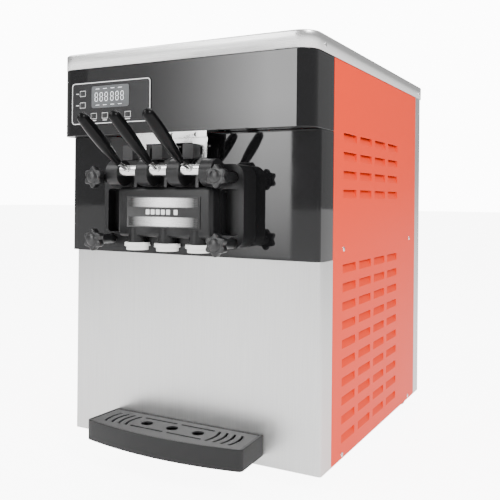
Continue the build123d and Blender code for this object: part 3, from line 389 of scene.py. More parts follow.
world = bpy.data.worlds.new("studio")
world.use_nodes = True
background = world.node_tree.nodes["Background"]
background.inputs["Color"].default_value = (1.0, 1.0, 1.0, 1.0)
seen_or_lit(world.node_tree, 0.5, 12.0, background.inputs["Strength"])
bpy.context.scene.world = world
machine_middle = Vector((0.0, 0.0, 0.42))
area_light("key", (-1.8, -1.6, 2.4), machine_middle, (1.4, 1.4), 40.0)
area_light("side", (2.3, -1.3, 2.2), (0.27, 0.0, 0.95), (0.9, 0.9), 84.0)
area_light("top", (0.2, 0.6, 2.8), machine_middle, (2.0, 2.0), 45.0)


# %% [markdown]
# ## Bent sheet panels
# On the real machine the front panel, fascia, hood and rear are single sheets folded round the
# corners. Each starts as a block with its upright corner edges bevelled to the bend radius. The faces
# that a folded sheet doesn't have are deleted, and Solidify gives back the sheet's thickness.

# %% Fold a sheet round the cabinet
sheet_thickness = 2 * MM
cabinet = "cabinet"


def folded_sheet(low, high, bend, rear=False, floor_kept=False, segments=12):
    """A block with two rounded upright corners and only its outer skin left."""
    bm = bmesh.new()
    verts = add_box(bm, low, high)
    face_y = high[1] if rear else low[1]
    corners = edges_along(verts, 2, lambda e: abs(e.verts[0].co.y - face_y) < 1e-5)
    round_edges(bm, corners, bend, segments)
    removed = faces_facing(bm, (0, 0, 1)) + faces_facing(bm, (0, -1 if rear else 1, 0))
    if not floor_kept:
        removed += faces_facing(bm, (0, 0, -1))
    bmesh.ops.delete(bm, geom=removed, context="FACES")
    return bm


half_width = side_high[0]
fascia_low, fascia_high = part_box("dispenser_fascia")
hood_low, hood_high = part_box("upper_hood")
panel_low, panel_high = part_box("front_panel")

# %% Lower front panel, with the two hooks that carry the drip tray
front_bm = folded_sheet((-half_width, front, panel_low[2]), (half_width, panel_high[1], panel_high[2]),
                        5 * MM, segments=6)
piece("front_panel", front_bm, cabinet, brushed_steel,
      replaces=["front_panel"], sheet=sheet_thickness, rounding=0.4 * MM)
hook_pitch, hook_width, hook_z = 200 * MM, 24 * MM, 62 * MM
hooks_bm = bmesh.new()
for side in (-1, 1):
    add_box(hooks_bm, (side * hook_pitch / 2 - hook_width / 2, panel_low[1], hook_z),
            (side * hook_pitch / 2 + hook_width / 2, front + MM, hook_z + 3 * MM))
piece("tray_hooks", hooks_bm, cabinet, brushed_steel, rounding=0.5 * MM)

# %% Gloss fascia and hood
fascia_bm = folded_sheet(fascia_low, fascia_high, 9 * MM, floor_kept=True, segments=8)
piece("dispenser_fascia", fascia_bm, cabinet, gloss_black,
      replaces=["dispenser_fascia"], sheet=sheet_thickness, rounding=0.6 * MM)
hood_bm = folded_sheet(hood_low, hood_high, 28 * MM, floor_kept=True, segments=20)
piece("upper_hood", hood_bm, cabinet, gloss_black,
      replaces=["upper_hood"], sheet=sheet_thickness, rounding=1.0 * MM)

# %% Rear panel, a steel sheet with rows of slots
rear_low, rear_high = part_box("rear_panel")
rear_bm = bmesh.new()
rear_verts = add_box(rear_bm, rear_low, rear_high)
round_edges(rear_bm, edges_along(rear_verts, 2, lambda e: abs(e.verts[0].co.y - rear_high[1]) < 1e-5),
            12 * MM, 8)
slot_rows, slot_columns, slot_pitch_x, slot_pitch_z = 7, 3, 130 * MM, 30 * MM
slot_half, slot_radius, slot_middle_z = 42 * MM, 3 * MM, 240 * MM
slots_bm = bmesh.new()
for row in range(slot_rows):
    for column in range(slot_columns):
        x = (column - (slot_columns - 1) / 2) * slot_pitch_x
        z = slot_middle_z + (row - (slot_rows - 1) / 2) * slot_pitch_z
        verts = add_box(slots_bm, (x - slot_half, rear_high[1] - 12 * MM, z - slot_radius),
                        (x + slot_half, rear_high[1] + 12 * MM, z + slot_radius))
        round_edges(slots_bm, edges_along(verts, 1), slot_radius * 0.96, 4)
rear_bm = carve(rear_bm, slots_bm)
bmesh.ops.delete(rear_bm, geom=[f for f in rear_bm.faces if abs(f.normal.z) > 0.9
                                or (f.normal.y < -0.9 and f.calc_center_median().y < rear_low[1] + MM)
                                or (f.calc_center_median().y < rear_high[1] - 5 * MM
                                    and abs(f.calc_center_median().x) < half_width - 20 * MM)],
                 context="FACES")
bmesh.ops.delete(rear_bm, geom=[v for v in rear_bm.verts if not v.link_faces], context="VERTS")
piece("rear_panel", rear_bm, cabinet, brushed_steel, replaces=["rear_panel"],
      sheet=sheet_thickness, rounding=0.4 * MM)

# %% [markdown]
# ## Louvred side panels
# The vents are pressed inwards: a short slit is cut along the top of each louvre and the metal below it
# is pushed in, so the face slopes back to its open upper edge. The flat sheet is divided along the
# louvres' outlines, each cell is extruded in place, its upper edge is pushed in, and the top is left open.

# %% Press the louvres
louvre_length, louvre_height, louvre_depth = 70 * MM, 15.5 * MM, 7 * MM
louvre_first_y, louvre_pitch_y, louvre_pitch_z = 96.7 * MM, 90.2 * MM, 34.3 * MM
upper_rows = [side_high[2] - 128.4 * MM - row * louvre_pitch_z for row in range(4)]
lower_rows = [side_high[2] - 367.4 * MM - row * louvre_pitch_z for row in range(10)]
columns = [front + louvre_first_y + column * louvre_pitch_y for column in range(4)]


def cut_across(bm, place, normal):
    """Divides every face of a flat sheet along a plane."""
    bmesh.ops.bisect_plane(bm, geom=bm.verts[:] + bm.edges[:] + bm.faces[:], plane_co=place,
                           plane_no=normal)


def louvred_side(side):
    """One side panel: a flat sheet with every louvre pressed inwards."""
    low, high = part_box("side_panel_right" if side > 0 else "side_panel_left")
    outer = side * half_width
    bm = bmesh.new()
    corners = [bm.verts.new((outer, y, z)) for y, z in
               ((low[1], low[2]), (high[1], low[2]), (high[1], high[2]), (low[1], high[2]))]
    bm.faces.new(corners if side > 0 else corners[::-1])
    for start in columns:
        for y in (start, start + louvre_length):
            cut_across(bm, (0, y, 0), (0, 1, 0))
    for top in upper_rows + lower_rows:
        for z in (top, top - louvre_height):
            cut_across(bm, (0, 0, z), (0, 0, 1))
    cells = []
    for face in bm.faces:
        middle = face.calc_center_median()
        in_column = any(start < middle.y < start + louvre_length for start in columns)
        in_row = any(top - louvre_height < middle.z < top for top in upper_rows + lower_rows)
        if in_column and in_row:
            cells.append(face)
    for cell in cells:
        pressed = bmesh.ops.extrude_discrete_faces(bm, faces=[cell])["faces"][0]
        top = max(v.co.z for v in pressed.verts)
        for vert in pressed.verts:
            if vert.co.z > top - louvre_height / 2:
                vert.co.x = outer - side * louvre_depth
    bmesh.ops.remove_doubles(bm, verts=bm.verts[:], dist=1e-6)
    bm.normal_update()
    open_tops = [f for f in bm.faces if abs(f.normal.z) > 0.99]
    bmesh.ops.delete(bm, geom=open_tops, context="FACES")
    sides = [e for e in bm.edges if len(e.link_faces) == 1 and abs(e.verts[0].co.x - outer) < 1e-6
             and abs(e.verts[1].co.x - outer) < 1e-6]
    rim = [e for e in sides if all(abs(v.co.y - low[1]) < 1e-6 for v in e.verts)
           or all(abs(v.co.y - high[1]) < 1e-6 for v in e.verts)]
    flange = bmesh.ops.extrude_edge_only(bm, edges=rim)["geom"]
    bmesh.ops.translate(bm, vec=(-side * 8 * MM, 0, 0),
                        verts=[g for g in flange if isinstance(g, bmesh.types.BMVert)])
    return bm


for side, side_name in ((1, "right"), (-1, "left")):
    louvred = louvred_side(side)
    print("louvred side", side_name, len(louvred.faces), "faces")
    piece(f"side_panel_{side_name}", louvred, cabinet, orange_coat,
          replaces=[f"side_panel_{side_name}"], sheet=sheet_thickness * 0.6, rounding=0.9 * MM,
          rounds=3, sharp=20.0)

# %% [markdown]
# ## Top cover
# The cover is a shallow stainless pan turned upside down over the cabinet. It is a block with rounded
# corners and a soft upper edge, with two openings cut for the hopper basins.

# %% Cover with its hopper openings
cover_low, cover_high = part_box("top_cover")
hopper_low, hopper_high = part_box("twin_hopper")
cover_bm = bmesh.new()
cover_verts = add_box(cover_bm, cover_low, cover_high)
round_edges(cover_bm, edges_along(cover_verts, 2, lambda e: abs(e.verts[0].co.y - cover_low[1]) < 1e-5),
            34 * MM, 20)
round_edges(cover_bm, [e for e in cover_bm.edges if all(abs(v.co.y - cover_high[1]) < 1e-5
                                                         for v in e.verts)
                       and abs(e.verts[0].co.z - e.verts[1].co.z) > MM], 12 * MM, 6)
top_rim = [e for e in cover_bm.edges if all(abs(v.co.z - cover_high[2]) < 1e-5 for v in e.verts)]
round_edges(cover_bm, top_rim, 3 * MM, 4)
basin_gap, hopper_flange = 30 * MM, 10 * MM
openings_bm = bmesh.new()
for side in (-1, 1):
    xs = sorted((side * basin_gap / 2, side * (hopper_high[0] - hopper_flange)))
    add_box(openings_bm, (xs[0] - MM, hopper_low[1] + hopper_flange - MM, cover_low[2] - MM),
            (xs[1] + MM, hopper_high[1] - hopper_flange + MM, cover_high[2] + MM))
cover_bm = carve(cover_bm, openings_bm)
bmesh.ops.delete(cover_bm, geom=[f for f in cover_bm.faces if f.normal.z < -0.9
                                 or (abs(f.normal.z) < 0.1
                                     and abs(f.calc_center_median().x) < half_width - 20 * MM
                                     and hopper_low[1] < f.calc_center_median().y < hopper_high[1])],
                 context="FACES")
piece("top_cover", cover_bm, cabinet, cover_steel, replaces=["top_cover"],
      sheet=sheet_thickness * 0.75)

# %% [markdown]
# ## Hopper basins and lids
# The twin hopper is one pressed stainless piece with a flat flange. The lids are thin pressed sheets
# with a raised field, so each starts as a rounded plate whose top face is inset and lifted, and a bent
# round bar makes the grip.

# %% Lids
for side_name in ("left", "right"):
    low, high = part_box(f"hopper_lid_{side_name}")
    plate_low = hopper_high[2]
    plate_high = plate_low + 2.5 * MM
    lid_bm = bmesh.new()
    verts = add_box(lid_bm, (low[0], low[1], plate_low), (high[0], high[1], plate_high))
    round_edges(lid_bm, edges_along(verts, 2), 12 * MM, 8)
    top = faces_facing(lid_bm, (0, 0, 1))
    bmesh.ops.inset_region(lid_bm, faces=top, thickness=14 * MM)
    bmesh.ops.inset_region(lid_bm, faces=top, thickness=3 * MM)
    bmesh.ops.translate(lid_bm, vec=(0, 0, 2 * MM), verts=list({v for f in top for v in f.verts}))
    plug_inset = 5.5 * MM
    plug = add_box(lid_bm, (low[0] + plug_inset, low[1] + plug_inset, plate_low - 8 * MM),
                   (high[0] - plug_inset, high[1] - plug_inset, plate_low + MM))
    round_edges(lid_bm, edges_along(plug, 2), 12 * MM, 6)
    piece(f"hopper_lid_{side_name}", lid_bm, f"hopper_lid_{side_name}", bright_steel,
          replaces=[f"hopper_lid_{side_name}"], rounding=0.6 * MM, rounds=2)
    middle = ((low[0] + high[0]) / 2, (low[1] + high[1]) / 2)
    grip_half, bar, bend = 45 * MM, 3.5 * MM, 10 * MM
    grip_bm = bmesh.new()
    ring = bmesh.ops.create_circle(grip_bm, segments=16, radius=bar)["verts"]
    bmesh.ops.translate(grip_bm, vec=(middle[0] - grip_half + bar, middle[1], plate_high), verts=ring)
    edge_loop = [e for e in grip_bm.edges]
    riser = high[2] - bar - bend

    def stretch(edges, shift):
        grown = bmesh.ops.extrude_edge_only(grip_bm, edges=edges)["geom"]
        bmesh.ops.translate(grip_bm, vec=shift, verts=[g for g in grown
                                                       if isinstance(g, bmesh.types.BMVert)])
        return [g for g in grown if isinstance(g, bmesh.types.BMEdge) and g.is_boundary]

    def turn(edges, centre, angle):
        spun = bmesh.ops.spin(grip_bm, geom=edges, cent=centre, axis=(0, 1, 0), angle=angle, steps=6,
                              use_merge=False)["geom_last"]
        return [g for g in spun if isinstance(g, bmesh.types.BMEdge)]

    edge_loop = stretch(edge_loop, (0, 0, riser - plate_high))
    edge_loop = turn(edge_loop, (middle[0] - grip_half + bar + bend, middle[1], riser), math.pi / 2)
    edge_loop = stretch(edge_loop, (2 * (grip_half - bar - bend), 0, 0))
    edge_loop = turn(edge_loop, (middle[0] + grip_half - bar - bend, middle[1], riser), math.pi / 2)
    stretch(edge_loop, (0, 0, plate_high - riser))
    bmesh.ops.holes_fill(grip_bm, edges=grip_bm.edges[:], sides=0)
    bmesh.ops.recalc_face_normals(grip_bm, faces=grip_bm.faces[:])
    piece(f"lid_grip_{side_name}", grip_bm, f"hopper_lid_{side_name}", bright_steel)

# %% [markdown]
# ## Places on the machine
# Depths on the front of the machine are easiest to read from the lower steel panel, so a small helper
# turns millimetres across, in front of that panel and above the floor into a place in metres.

# %% A place from front-panel millimetres
def at(x, y, z):
    """A place in metres; y is 0 on the lower front panel and negative before it."""
    return Vector((x * MM, front + y * MM, z * MM))


def block_at(bm, x, y, z):
    """A block from three spans in front-panel millimetres."""
    return add_box(bm, at(x[0], y[0], z[0]), at(x[1], y[1], z[1]))


def rod_at(bm, axis, start, end, across, radius, end_radius=None, segments=40):
    """A round bar in front-panel millimetres."""
    shift = {"X": (front / MM, 0), "Y": (0, 0), "Z": (0, front / MM)}[axis]
    ends = [value * MM + (front if axis == "Y" else 0) for value in (start, end)]
    places = ((across[0] + shift[0]) * MM, (across[1] + shift[1]) * MM)
    last = None if end_radius is None else end_radius * MM
    return add_rod(bm, axis, ends[0], ends[1], places, radius * MM, last, segments)


# %% [markdown]
# ## Screws, feet and cord gland
# A pan-head screw is a flattened half sphere with a cross cut into it. The feet are short rubber
# cylinders with a rounded lower rim, made by spinning their outline once round the upright axis.

# %% Spin an outline
def spun(outline, centre, axis="Z", segments=48):
    """A turned solid: outline is (radius, along) in mm from centre, which is in metres."""
    bm = bmesh.new()
    verts = [bm.verts.new((radius * MM, 0, along * MM)) for radius, along in outline]
    edges = [bm.edges.new(pair) for pair in zip(verts, verts[1:])]
    bmesh.ops.spin(bm, geom=verts + edges, cent=(0, 0, 0), axis=(0, 0, 1), angle=2 * math.pi,
                   steps=segments, use_merge=True)
    bmesh.ops.remove_doubles(bm, verts=bm.verts[:], dist=1e-7)
    bmesh.ops.recalc_face_normals(bm, faces=bm.faces[:])
    bmesh.ops.rotate(bm, matrix=TURNS[axis], verts=bm.verts[:])
    bmesh.ops.translate(bm, vec=centre, verts=bm.verts[:])
    return bm


def add_spun(target, outline, centre, axis="Z", segments=48):
    """Spins an outline and joins the result to another bmesh."""
    join(target, spun(outline, centre, axis, segments))


def join(target, source):
    """Moves everything in one bmesh into another."""
    mesh = bpy.data.meshes.new("joined")
    source.to_mesh(mesh)
    source.free()
    target.from_mesh(mesh)
    bpy.data.meshes.remove(mesh)


def dome(radius, height, base=0.0, steps=6):
    """The outline of a shallow dome: (radius, along) pairs from the rim to the middle."""
    return [(radius * math.cos(step / steps * math.pi / 2),
             base + height * math.sin(step / steps * math.pi / 2)) for step in range(steps + 1)]


# %% Screws on the sides and the cover
screw_low_z, screw_high_z, lid_screw_z = 38, 411, 761
side_screws = [(y, z, 270) for y in (100, 538) for z in (screw_low_z, screw_high_z)]
cover_screws = [(-2, lid_screw_z, 272), (614, lid_screw_z, 272)]
screws_bm = bmesh.new()
for side in (-1, 1):
    for y, z, x in side_screws + cover_screws:
        head = bmesh.new()
        add_spun(head, [(0, -9), (2, -9), (2, 0), (4.5, 0), (4.5, 0.6)] + dome(4.5, 1.6, 0.6)[1:],
                 Vector(), segments=28)
        cross = bmesh.new()
        for size in ((2.6, 0.45), (0.45, 2.6)):
            add_box(cross, (-size[0] * MM, -size[1] * MM, 1.1 * MM), (size[0] * MM, size[1] * MM, 4 * MM))
        head = carve(head, cross)
        bmesh.ops.rotate(head, matrix=TURNS["X"], verts=head.verts[:])
        if side < 0:
            bmesh.ops.rotate(head, matrix=Matrix.Rotation(math.pi, 3, "Z"), verts=head.verts[:])
        bmesh.ops.translate(head, vec=at(side * x, y, z), verts=head.verts[:])
        join(screws_bm, head)
piece("cabinet_screws", screws_bm, cabinet, bright_steel, replaces=["cabinet_screws"])

# %% Feet
feet_bm = bmesh.new()
foot_outline = [(0, 30), (23, 30), (23.5, 24), (25, 22), (25, 5), (24, 2), (22, 0), (12, 0), (11, 1.5),
                (0, 1.5)]
for side in (-1, 1):
    for x, y in ((195, 112), (222, 595)):
        add_spun(feet_bm, foot_outline, at(side * x, y, 0), segments=40)
piece("rubber_feet", feet_bm, cabinet, rubber, replaces=["rubber_feet"], rounding=0.5 * MM)

# %% Cord gland
gland_bm = bmesh.new()
nut = bmesh.ops.create_cone(gland_bm, cap_ends=True, segments=6, radius1=13 * MM, radius2=13 * MM,
                            depth=8 * MM)["verts"]
bmesh.ops.rotate(gland_bm, matrix=TURNS["Y"], verts=nut)
bmesh.ops.translate(gland_bm, vec=at(170, 644, 105), verts=nut)
gland_bore_bm = bmesh.new()
rod_at(gland_bore_bm, "Y", 620, 660, (170, 105), 5)
gland_bm = carve(gland_bm, gland_bore_bm)
add_spun(gland_bm, [(5, -6), (9, -6), (9, 8), (11, 9), (11, 13), (9.5, 15.5), (7.5, 16), (5, 16), (5, -6)],
         at(170, 640, 105), "Y", 40)
piece("cable_gland", gland_bm, cabinet, black_moulding, replaces=["cable_gland"],
      rounding=0.5 * MM)

# %% [markdown]
# ## Control panel
# The controls sit behind one glossy film. A thin white line runs round it, and plain white symbols
# are printed on it: a snowflake and bars. Each symbol is a few thin strips a hair above the film, so
# they stay crisp from any distance.

# %% Film and its white outline
def rounded_plate(x, y, z, corner, segments=8):
    """A thin upright plate with rounded corners."""
    bm = bmesh.new()
    verts = block_at(bm, x, y, z)
    round_edges(bm, edges_along(verts, 1), corner * MM, segments)
    return bm


hood_y = -52
panel_x, panel_z = (-241, -50), (640.5, 723.5)
film_y = hood_y - 1.2
film_bm = rounded_plate(panel_x, (film_y, hood_y), panel_z, 8)
pockets = bmesh.new()
button_places = [("upper", 28.5, 61), ("lower", 28.5, 38.5), ("row_1", 56.5, 16.5), ("row_2", 83.5, 16.5),
                 ("row_3", 111, 16.5), ("row_4", 138, 16.5)]
for _, x, z in button_places:
    middle_x, middle_z = panel_x[0] + x, panel_z[0] + z
    cut = block_at(pockets, (middle_x - 6.3, middle_x + 6.3), (film_y - 1, hood_y + 1),
                   (middle_z - 4.8, middle_z + 4.8))
    round_edges(pockets, edges_along(cut, 1), 2.2 * MM, 5)
film_bm = carve(film_bm, pockets)
piece("control_panel", film_bm, cabinet, panel_film, replaces=["control_panel"],
      rounding=0.2 * MM)

ink = 0.16
print_bm = bmesh.new()
outer = rounded_plate((panel_x[0] + 1.5, panel_x[1] - 1.5), (film_y - ink, film_y + 0.3),
                      (panel_z[0] + 1.5, panel_z[1] - 1.5), 6.8)
inner = rounded_plate((panel_x[0] + 3, panel_x[1] - 3), (film_y - 2, film_y + 2),
                      (panel_z[0] + 3, panel_z[1] - 3), 5.6)
join(print_bm, carve(outer, inner))


def strip(x, z, width, height, turn=0.0):
    """A thin printed bar on the film, from the panel's lower left corner, turned about its middle."""
    bar = bmesh.new()
    add_box(bar, (-width / 2 * MM, -ink * MM, -height / 2 * MM),
            (width / 2 * MM, 0.3 * MM, height / 2 * MM))
    bmesh.ops.rotate(bar, matrix=Matrix.Rotation(math.radians(turn), 3, "Y"), verts=bar.verts[:])
    bmesh.ops.translate(bar, vec=at(panel_x[0] + x, film_y, panel_z[0] + z), verts=bar.verts[:])
    join(print_bm, bar)


print("film and outline ready")

# %% Printed symbols
for x, z, width, height, turn in (
        (15.5, 61, 7, 1.4, 0), (15.5, 38.5, 7, 1.4, 0), (28.5, 61, 1.6, 5, 0), (28.5, 61, 5, 1.6, 0),
        (28.5, 38.5, 5.5, 1.3, 45), (28.5, 38.5, 5.5, 1.3, -45), (56.5, 16.5, 5.5, 1.3, 60),
        (56.5, 16.5, 5.5, 1.3, -60), (56.5, 16.5, 5.5, 1.3, 0), (83.5, 16.5, 5.5, 1.4, -35),
        (111, 16.5, 1.5, 5.5, 0), (138, 18, 6, 1.4, 0), (138, 15, 6, 1.4, 0)):
    strip(x, z, width, height, turn)
for _, x, z in button_places:
    for side in (-1, 1):
        strip(x + side * 6.6, z, 0.9, 10.4)
        strip(x, z + side * 5.2, 13.2, 0.9)
for x, z, width in ((56.5, 8, 12), (83.5, 8, 10), (111, 8, 12), (138, 8, 11)):
    strip(x, z, width, 1.4)
piece("panel_print", print_bm, cabinet, print_white)

# %% Display with lit bars
display_low = (panel_x[0] + 51, panel_z[0] + 31.5)
display_high = (panel_x[0] + 141, panel_z[0] + 73.5)
display_bm = rounded_plate((display_low[0], display_high[0]), (film_y - 1, film_y),
                           (display_low[1], display_high[1]), 5)
piece("display_window", display_bm, cabinet, display_back, replaces=["display_window"],
      rounding=0.3 * MM)
lit_bm = bmesh.new()


def lit_bar(x, z, width, height):
    """A lit segment on the display, from its lower left corner."""
    block_at(lit_bm, (display_low[0] + x - width / 2, display_low[0] + x + width / 2),
             (film_y - 1.1, film_y - 0.9),
             (display_low[1] + z - height / 2, display_low[1] + z + height / 2))


for digit_x in (12, 24, 36, 50, 62, 74):
    for z in (13, 21, 29):
        lit_bar(digit_x, z, 5, 1.2)
    for x in (digit_x - 3.2, digit_x + 3.2):
        for z in (17, 25):
            lit_bar(x, z, 1.2, 6)
for x in (15, 33, 51, 69):
    lit_bar(x, 36.5, 9, 1)
    lit_bar(x, 5.5, 9, 1)
piece("display_digits", lit_bm, cabinet, display_glow)

# %% Buttons
for name, x, z in button_places:
    middle_x, middle_z = panel_x[0] + x, panel_z[0] + z
    low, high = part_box(f"button_{name}")
    button_bm = bmesh.new()
    verts = add_box(button_bm, low, high)
    round_edges(button_bm, edges_along(verts, 1), 2 * MM, 5)
    face = max(faces_facing(button_bm, (0, -1, 0)), key=lambda f: f.calc_area())
    rim = bmesh.ops.inset_region(button_bm, faces=[face], thickness=1.2 * MM, depth=-0.25 * MM)
    piece(f"button_{name}", button_bm, f"button_{name}", part_black,
          replaces=[f"button_{name}"], rounding=0.25 * MM)
print("controls ready")

# %% [markdown]
# ## Dispensing head
# The head is one black moulding: a flat slab, a deeper block before it, four round ears that carry the
# lever pivot, and three spigots below. The pockets beside the block, the counterbores for the studs and
# the bores are cut away with the exact boolean, and a Bevel modifier softens every remaining corner.

# %% Slab, block, ears and spigots
lever_x = (-66, 0, 66)
stud_places = [(side * 129, z) for side in (-1, 1) for z in (537, 424)]
head_bm = bmesh.new()
slab = block_at(head_bm, (-150, 150), (-60, -16), (415, 560))
round_edges(head_bm, edges_along(slab, 1), 22 * MM, 12)
cuts = bmesh.new()
for side in (-1, 1):
    cut = block_at(cuts, sorted((side * 105, side * 141)), (-90, -40), (437, 517))
    round_edges(cuts, edges_along(cut, 1), 6 * MM, 6)
for x, z in stud_places:
    rod_at(cuts, "Y", -70, -54, (x, z), 10.5)
    rod_at(cuts, "Y", -70, -10, (x, z), 5.05, segments=24)
head_bm = carve(head_bm, cuts)
block_bm = bmesh.new()
face_block = block_at(block_bm, (-101, 101), (-83, -50), (430, 520))
round_edges(block_bm, [e for e in block_bm.edges if all(v.co.y < front - 80 * MM for v in e.verts)]
            + edges_along(face_block, 1), 8 * MM, 6)
spigot_bm = bmesh.new()
for x in lever_x:
    rod_at(spigot_bm, "Z", 412, 445, (x, -68), 17, segments=48)
head_bm = carve(head_bm, block_bm, "UNION")
head_bm = carve(head_bm, spigot_bm, "UNION")
ears_bm = bmesh.new()
for x in (-99, -33, 33, 99):
    rod_at(ears_bm, "X", x - 12.5, x + 12.5, (-82, 545), 23.5, segments=64)
head_bm = carve(head_bm, ears_bm, "UNION")
bores = bmesh.new()
for x in lever_x:
    rod_at(bores, "Z", 400, 530, (x, -68), 10.1, segments=40)
    block_at(bores, (x - 20.5, x + 20.5), (-110, -59.9), (520.2, 572))
for x in (-99, -33, 33, 99):
    rod_at(bores, "X", x - 14, x + 14, (-90, 549), 5.05, segments=24)
head_bm = carve(head_bm, bores)
print("head faces", len(head_bm.faces))
assert len(head_bm.faces) > 200
piece("dispensing_head", head_bm, cabinet, black_moulding,
      replaces=["dispensing_head"], rounding=1.2 * MM, sharp=35.0)

# %% Name plate
# The plate is bright foil with a dark matt field between two polished bands. In place of a name it
# carries six plain bars. The polished bands get a painted reflection: bright in the middle, dark at the
# ends.
plate_bm = bmesh.new()
block_at(plate_bm, (-78, 78), (-84.5, -83), (448, 503))
plate_front = faces_facing(plate_bm, (0, -1, 0))
bmesh.ops.inset_region(plate_bm, faces=plate_front, thickness=1.2 * MM, depth=-0.3 * MM)
piece("name_plate", plate_bm, cabinet, part_black, replaces=["name_plate"],
      rounding=0.2 * MM)
# The bands' colour is a painted reflection: near white along the middle of the plate, fading to near black
# towards the band ends.
band_tree = foil.node_tree
painted_reflection_coords = band_tree.nodes.new("ShaderNodeTexCoord")
painted_reflection_split = band_tree.nodes.new("ShaderNodeSeparateXYZ")
painted_reflection_distance = band_tree.nodes.new("ShaderNodeMath")
painted_reflection_distance.operation = "ABSOLUTE"
painted_reflection_ramp = band_tree.nodes.new("ShaderNodeValToRGB")
painted_reflection_ramp.color_ramp.elements[0].position = 0.01
painted_reflection_ramp.color_ramp.elements[0].color = (0.95, 0.95, 0.95, 1)
painted_reflection_ramp.color_ramp.elements[1].position = 0.066
painted_reflection_ramp.color_ramp.elements[1].color = (0.05, 0.05, 0.05, 1)
band_tree.links.new(painted_reflection_coords.outputs["Object"], painted_reflection_split.inputs["Vector"])
band_tree.links.new(painted_reflection_split.outputs["X"], painted_reflection_distance.inputs[0])
band_tree.links.new(painted_reflection_distance.outputs["Value"], painted_reflection_ramp.inputs["Fac"])
band_tree.links.new(painted_reflection_ramp.outputs["Color"], band_tree.nodes["Principled BSDF"].inputs["Base Color"])
bands_bm = bmesh.new()
for low_z, high_z in ((485, 500), (451, 466)):
    block_at(bands_bm, (-74, 74), (-84.6, -84.1), (low_z, high_z))
    for z in (low_z - 0.9, high_z + 0.3):
        block_at(bands_bm, (-76, 76), (-84.6, -84.1), (z, z + 0.6))
piece("plate_bands", bands_bm, cabinet, foil)
bars_bm = bmesh.new()
for x in (-36, -25, -14, -3, 8, 24):
    bar = block_at(bars_bm, (x, x + 8), (-84.6, -84.1), (471, 480))
    round_edges(bars_bm, edges_along(bar, 1), 1.5 * MM, 4)
piece("plate_mark", bars_bm, cabinet, print_white)

# %% [markdown]
# ## Draw levers
# Each lever turns on a steel hub. A thin steel stem leaves the hub, and a black grip is fitted on it.
# The hub is turned on a lathe, so its outline is spun. The grip is spun too: narrow at the
# stem, fullest at two thirds of its length and rounded at the tip.

# %% Hubs and grips
stem_angle, handle_angle = math.radians(17.6), math.radians(37.0)
stem_along = Vector((0, -math.cos(stem_angle), math.sin(stem_angle)))
grip_along = Vector((0, -math.cos(handle_angle), math.sin(handle_angle)))
stem_end = stem_along * 35.7 * MM


def leaning(bm, along, place):
    """Turns an upright bmesh so that its Z runs along a direction, and moves it to a place."""
    turn = along.to_track_quat("Z", "X").to_matrix()
    bmesh.ops.rotate(bm, matrix=turn, verts=bm.verts[:])
    bmesh.ops.translate(bm, vec=place, verts=bm.verts[:])
    return bm


grip_outline = [(0, 1), (4.1, 1), (5.2, 1.3), (6, 2.5)]
for step in range(1, 20):
    share = step / 20
    radius = 6.2 + (11 - 6.2) * math.sin(min(share / 0.66, 1) * math.pi / 2) ** 0.9
    if share > 0.66:
        radius = 11 - 1.5 * ((share - 0.66) / 0.34) ** 2
    grip_outline.append((radius, 2.5 + share * 115.5))
grip_outline += [(9.5 * math.cos(step / 10 * math.pi / 2), 118 + 9.5 * math.sin(step / 10 * math.pi / 2))
                 for step in range(11)]
for name, x in zip(("left", "middle", "right"), lever_x):
    pivot = at(x, -90, 549)
    hub_bm = spun([(5.05, -20), (9.6, -20), (10.5, -19.1), (10.5, -12), (10.1, -11.5), (10.1, 11.5),
                   (10.5, 12), (10.5, 19.1), (9.6, 20), (5.05, 20), (5.05, -20)], pivot, "X", 56)
    stem_bm = leaning(spun([(0, 8), (6.4, 9.6), (6.4, 11.2), (4, 12.4), (4, 36.5), (0, 36.5)],
                           (0, 0, 0)), stem_along, pivot)
    join(hub_bm, stem_bm)
    join(hub_bm, leaning(spun([(0, -3.4), (2.6, -2.6), (4, 0), (4, 14), (0, 14)], (0, 0, 0)),
                         grip_along, pivot + stem_end))
    for start in (x - 6.5, x + 3.5):
        cheek = bmesh.new()
        add_box(cheek, (start * MM, 0, -4.5 * MM), ((start + 3) * MM, 22 * MM, 4.5 * MM))
        ends = [e for e in cheek.edges if all(v.co.y > 21 * MM for v in e.verts)
                and abs(e.verts[0].co.x - e.verts[1].co.x) > MM]
        round_edges(cheek, ends, 4.3 * MM, 6)
        bmesh.ops.rotate(cheek, matrix=Matrix.Rotation(math.radians(-25), 3, "X"), verts=cheek.verts[:])
        bmesh.ops.translate(cheek, vec=(0, pivot.y, pivot.z), verts=cheek.verts[:])
        join(hub_bm, cheek)
    toe = (-90 + 22 * math.cos(math.radians(25)), 549 - 22 * math.sin(math.radians(25)))
    rod_at(hub_bm, "X", x - 6.5, x + 6.5, toe, 3, segments=20)
    piece(f"lever_hub_{name}", hub_bm, f"lever_{name}", bright_steel,
          replaces=[f"lever_hub_{name}"])
    grip_bm = leaning(spun(grip_outline, (0, 0, 0), segments=56), grip_along, pivot + stem_end)
    piece(f"lever_handle_{name}", grip_bm, f"lever_{name}", handle_black,
          replaces=[f"lever_handle_{name}"])

# %% [markdown]
# ## Nozzle caps and star knobs
# The nozzle caps are turned white plastic with a six-pointed hole that shapes the ice cream. A star
# knob's rim is a circle whose radius waves six times round, drawn as a ring and extruded.

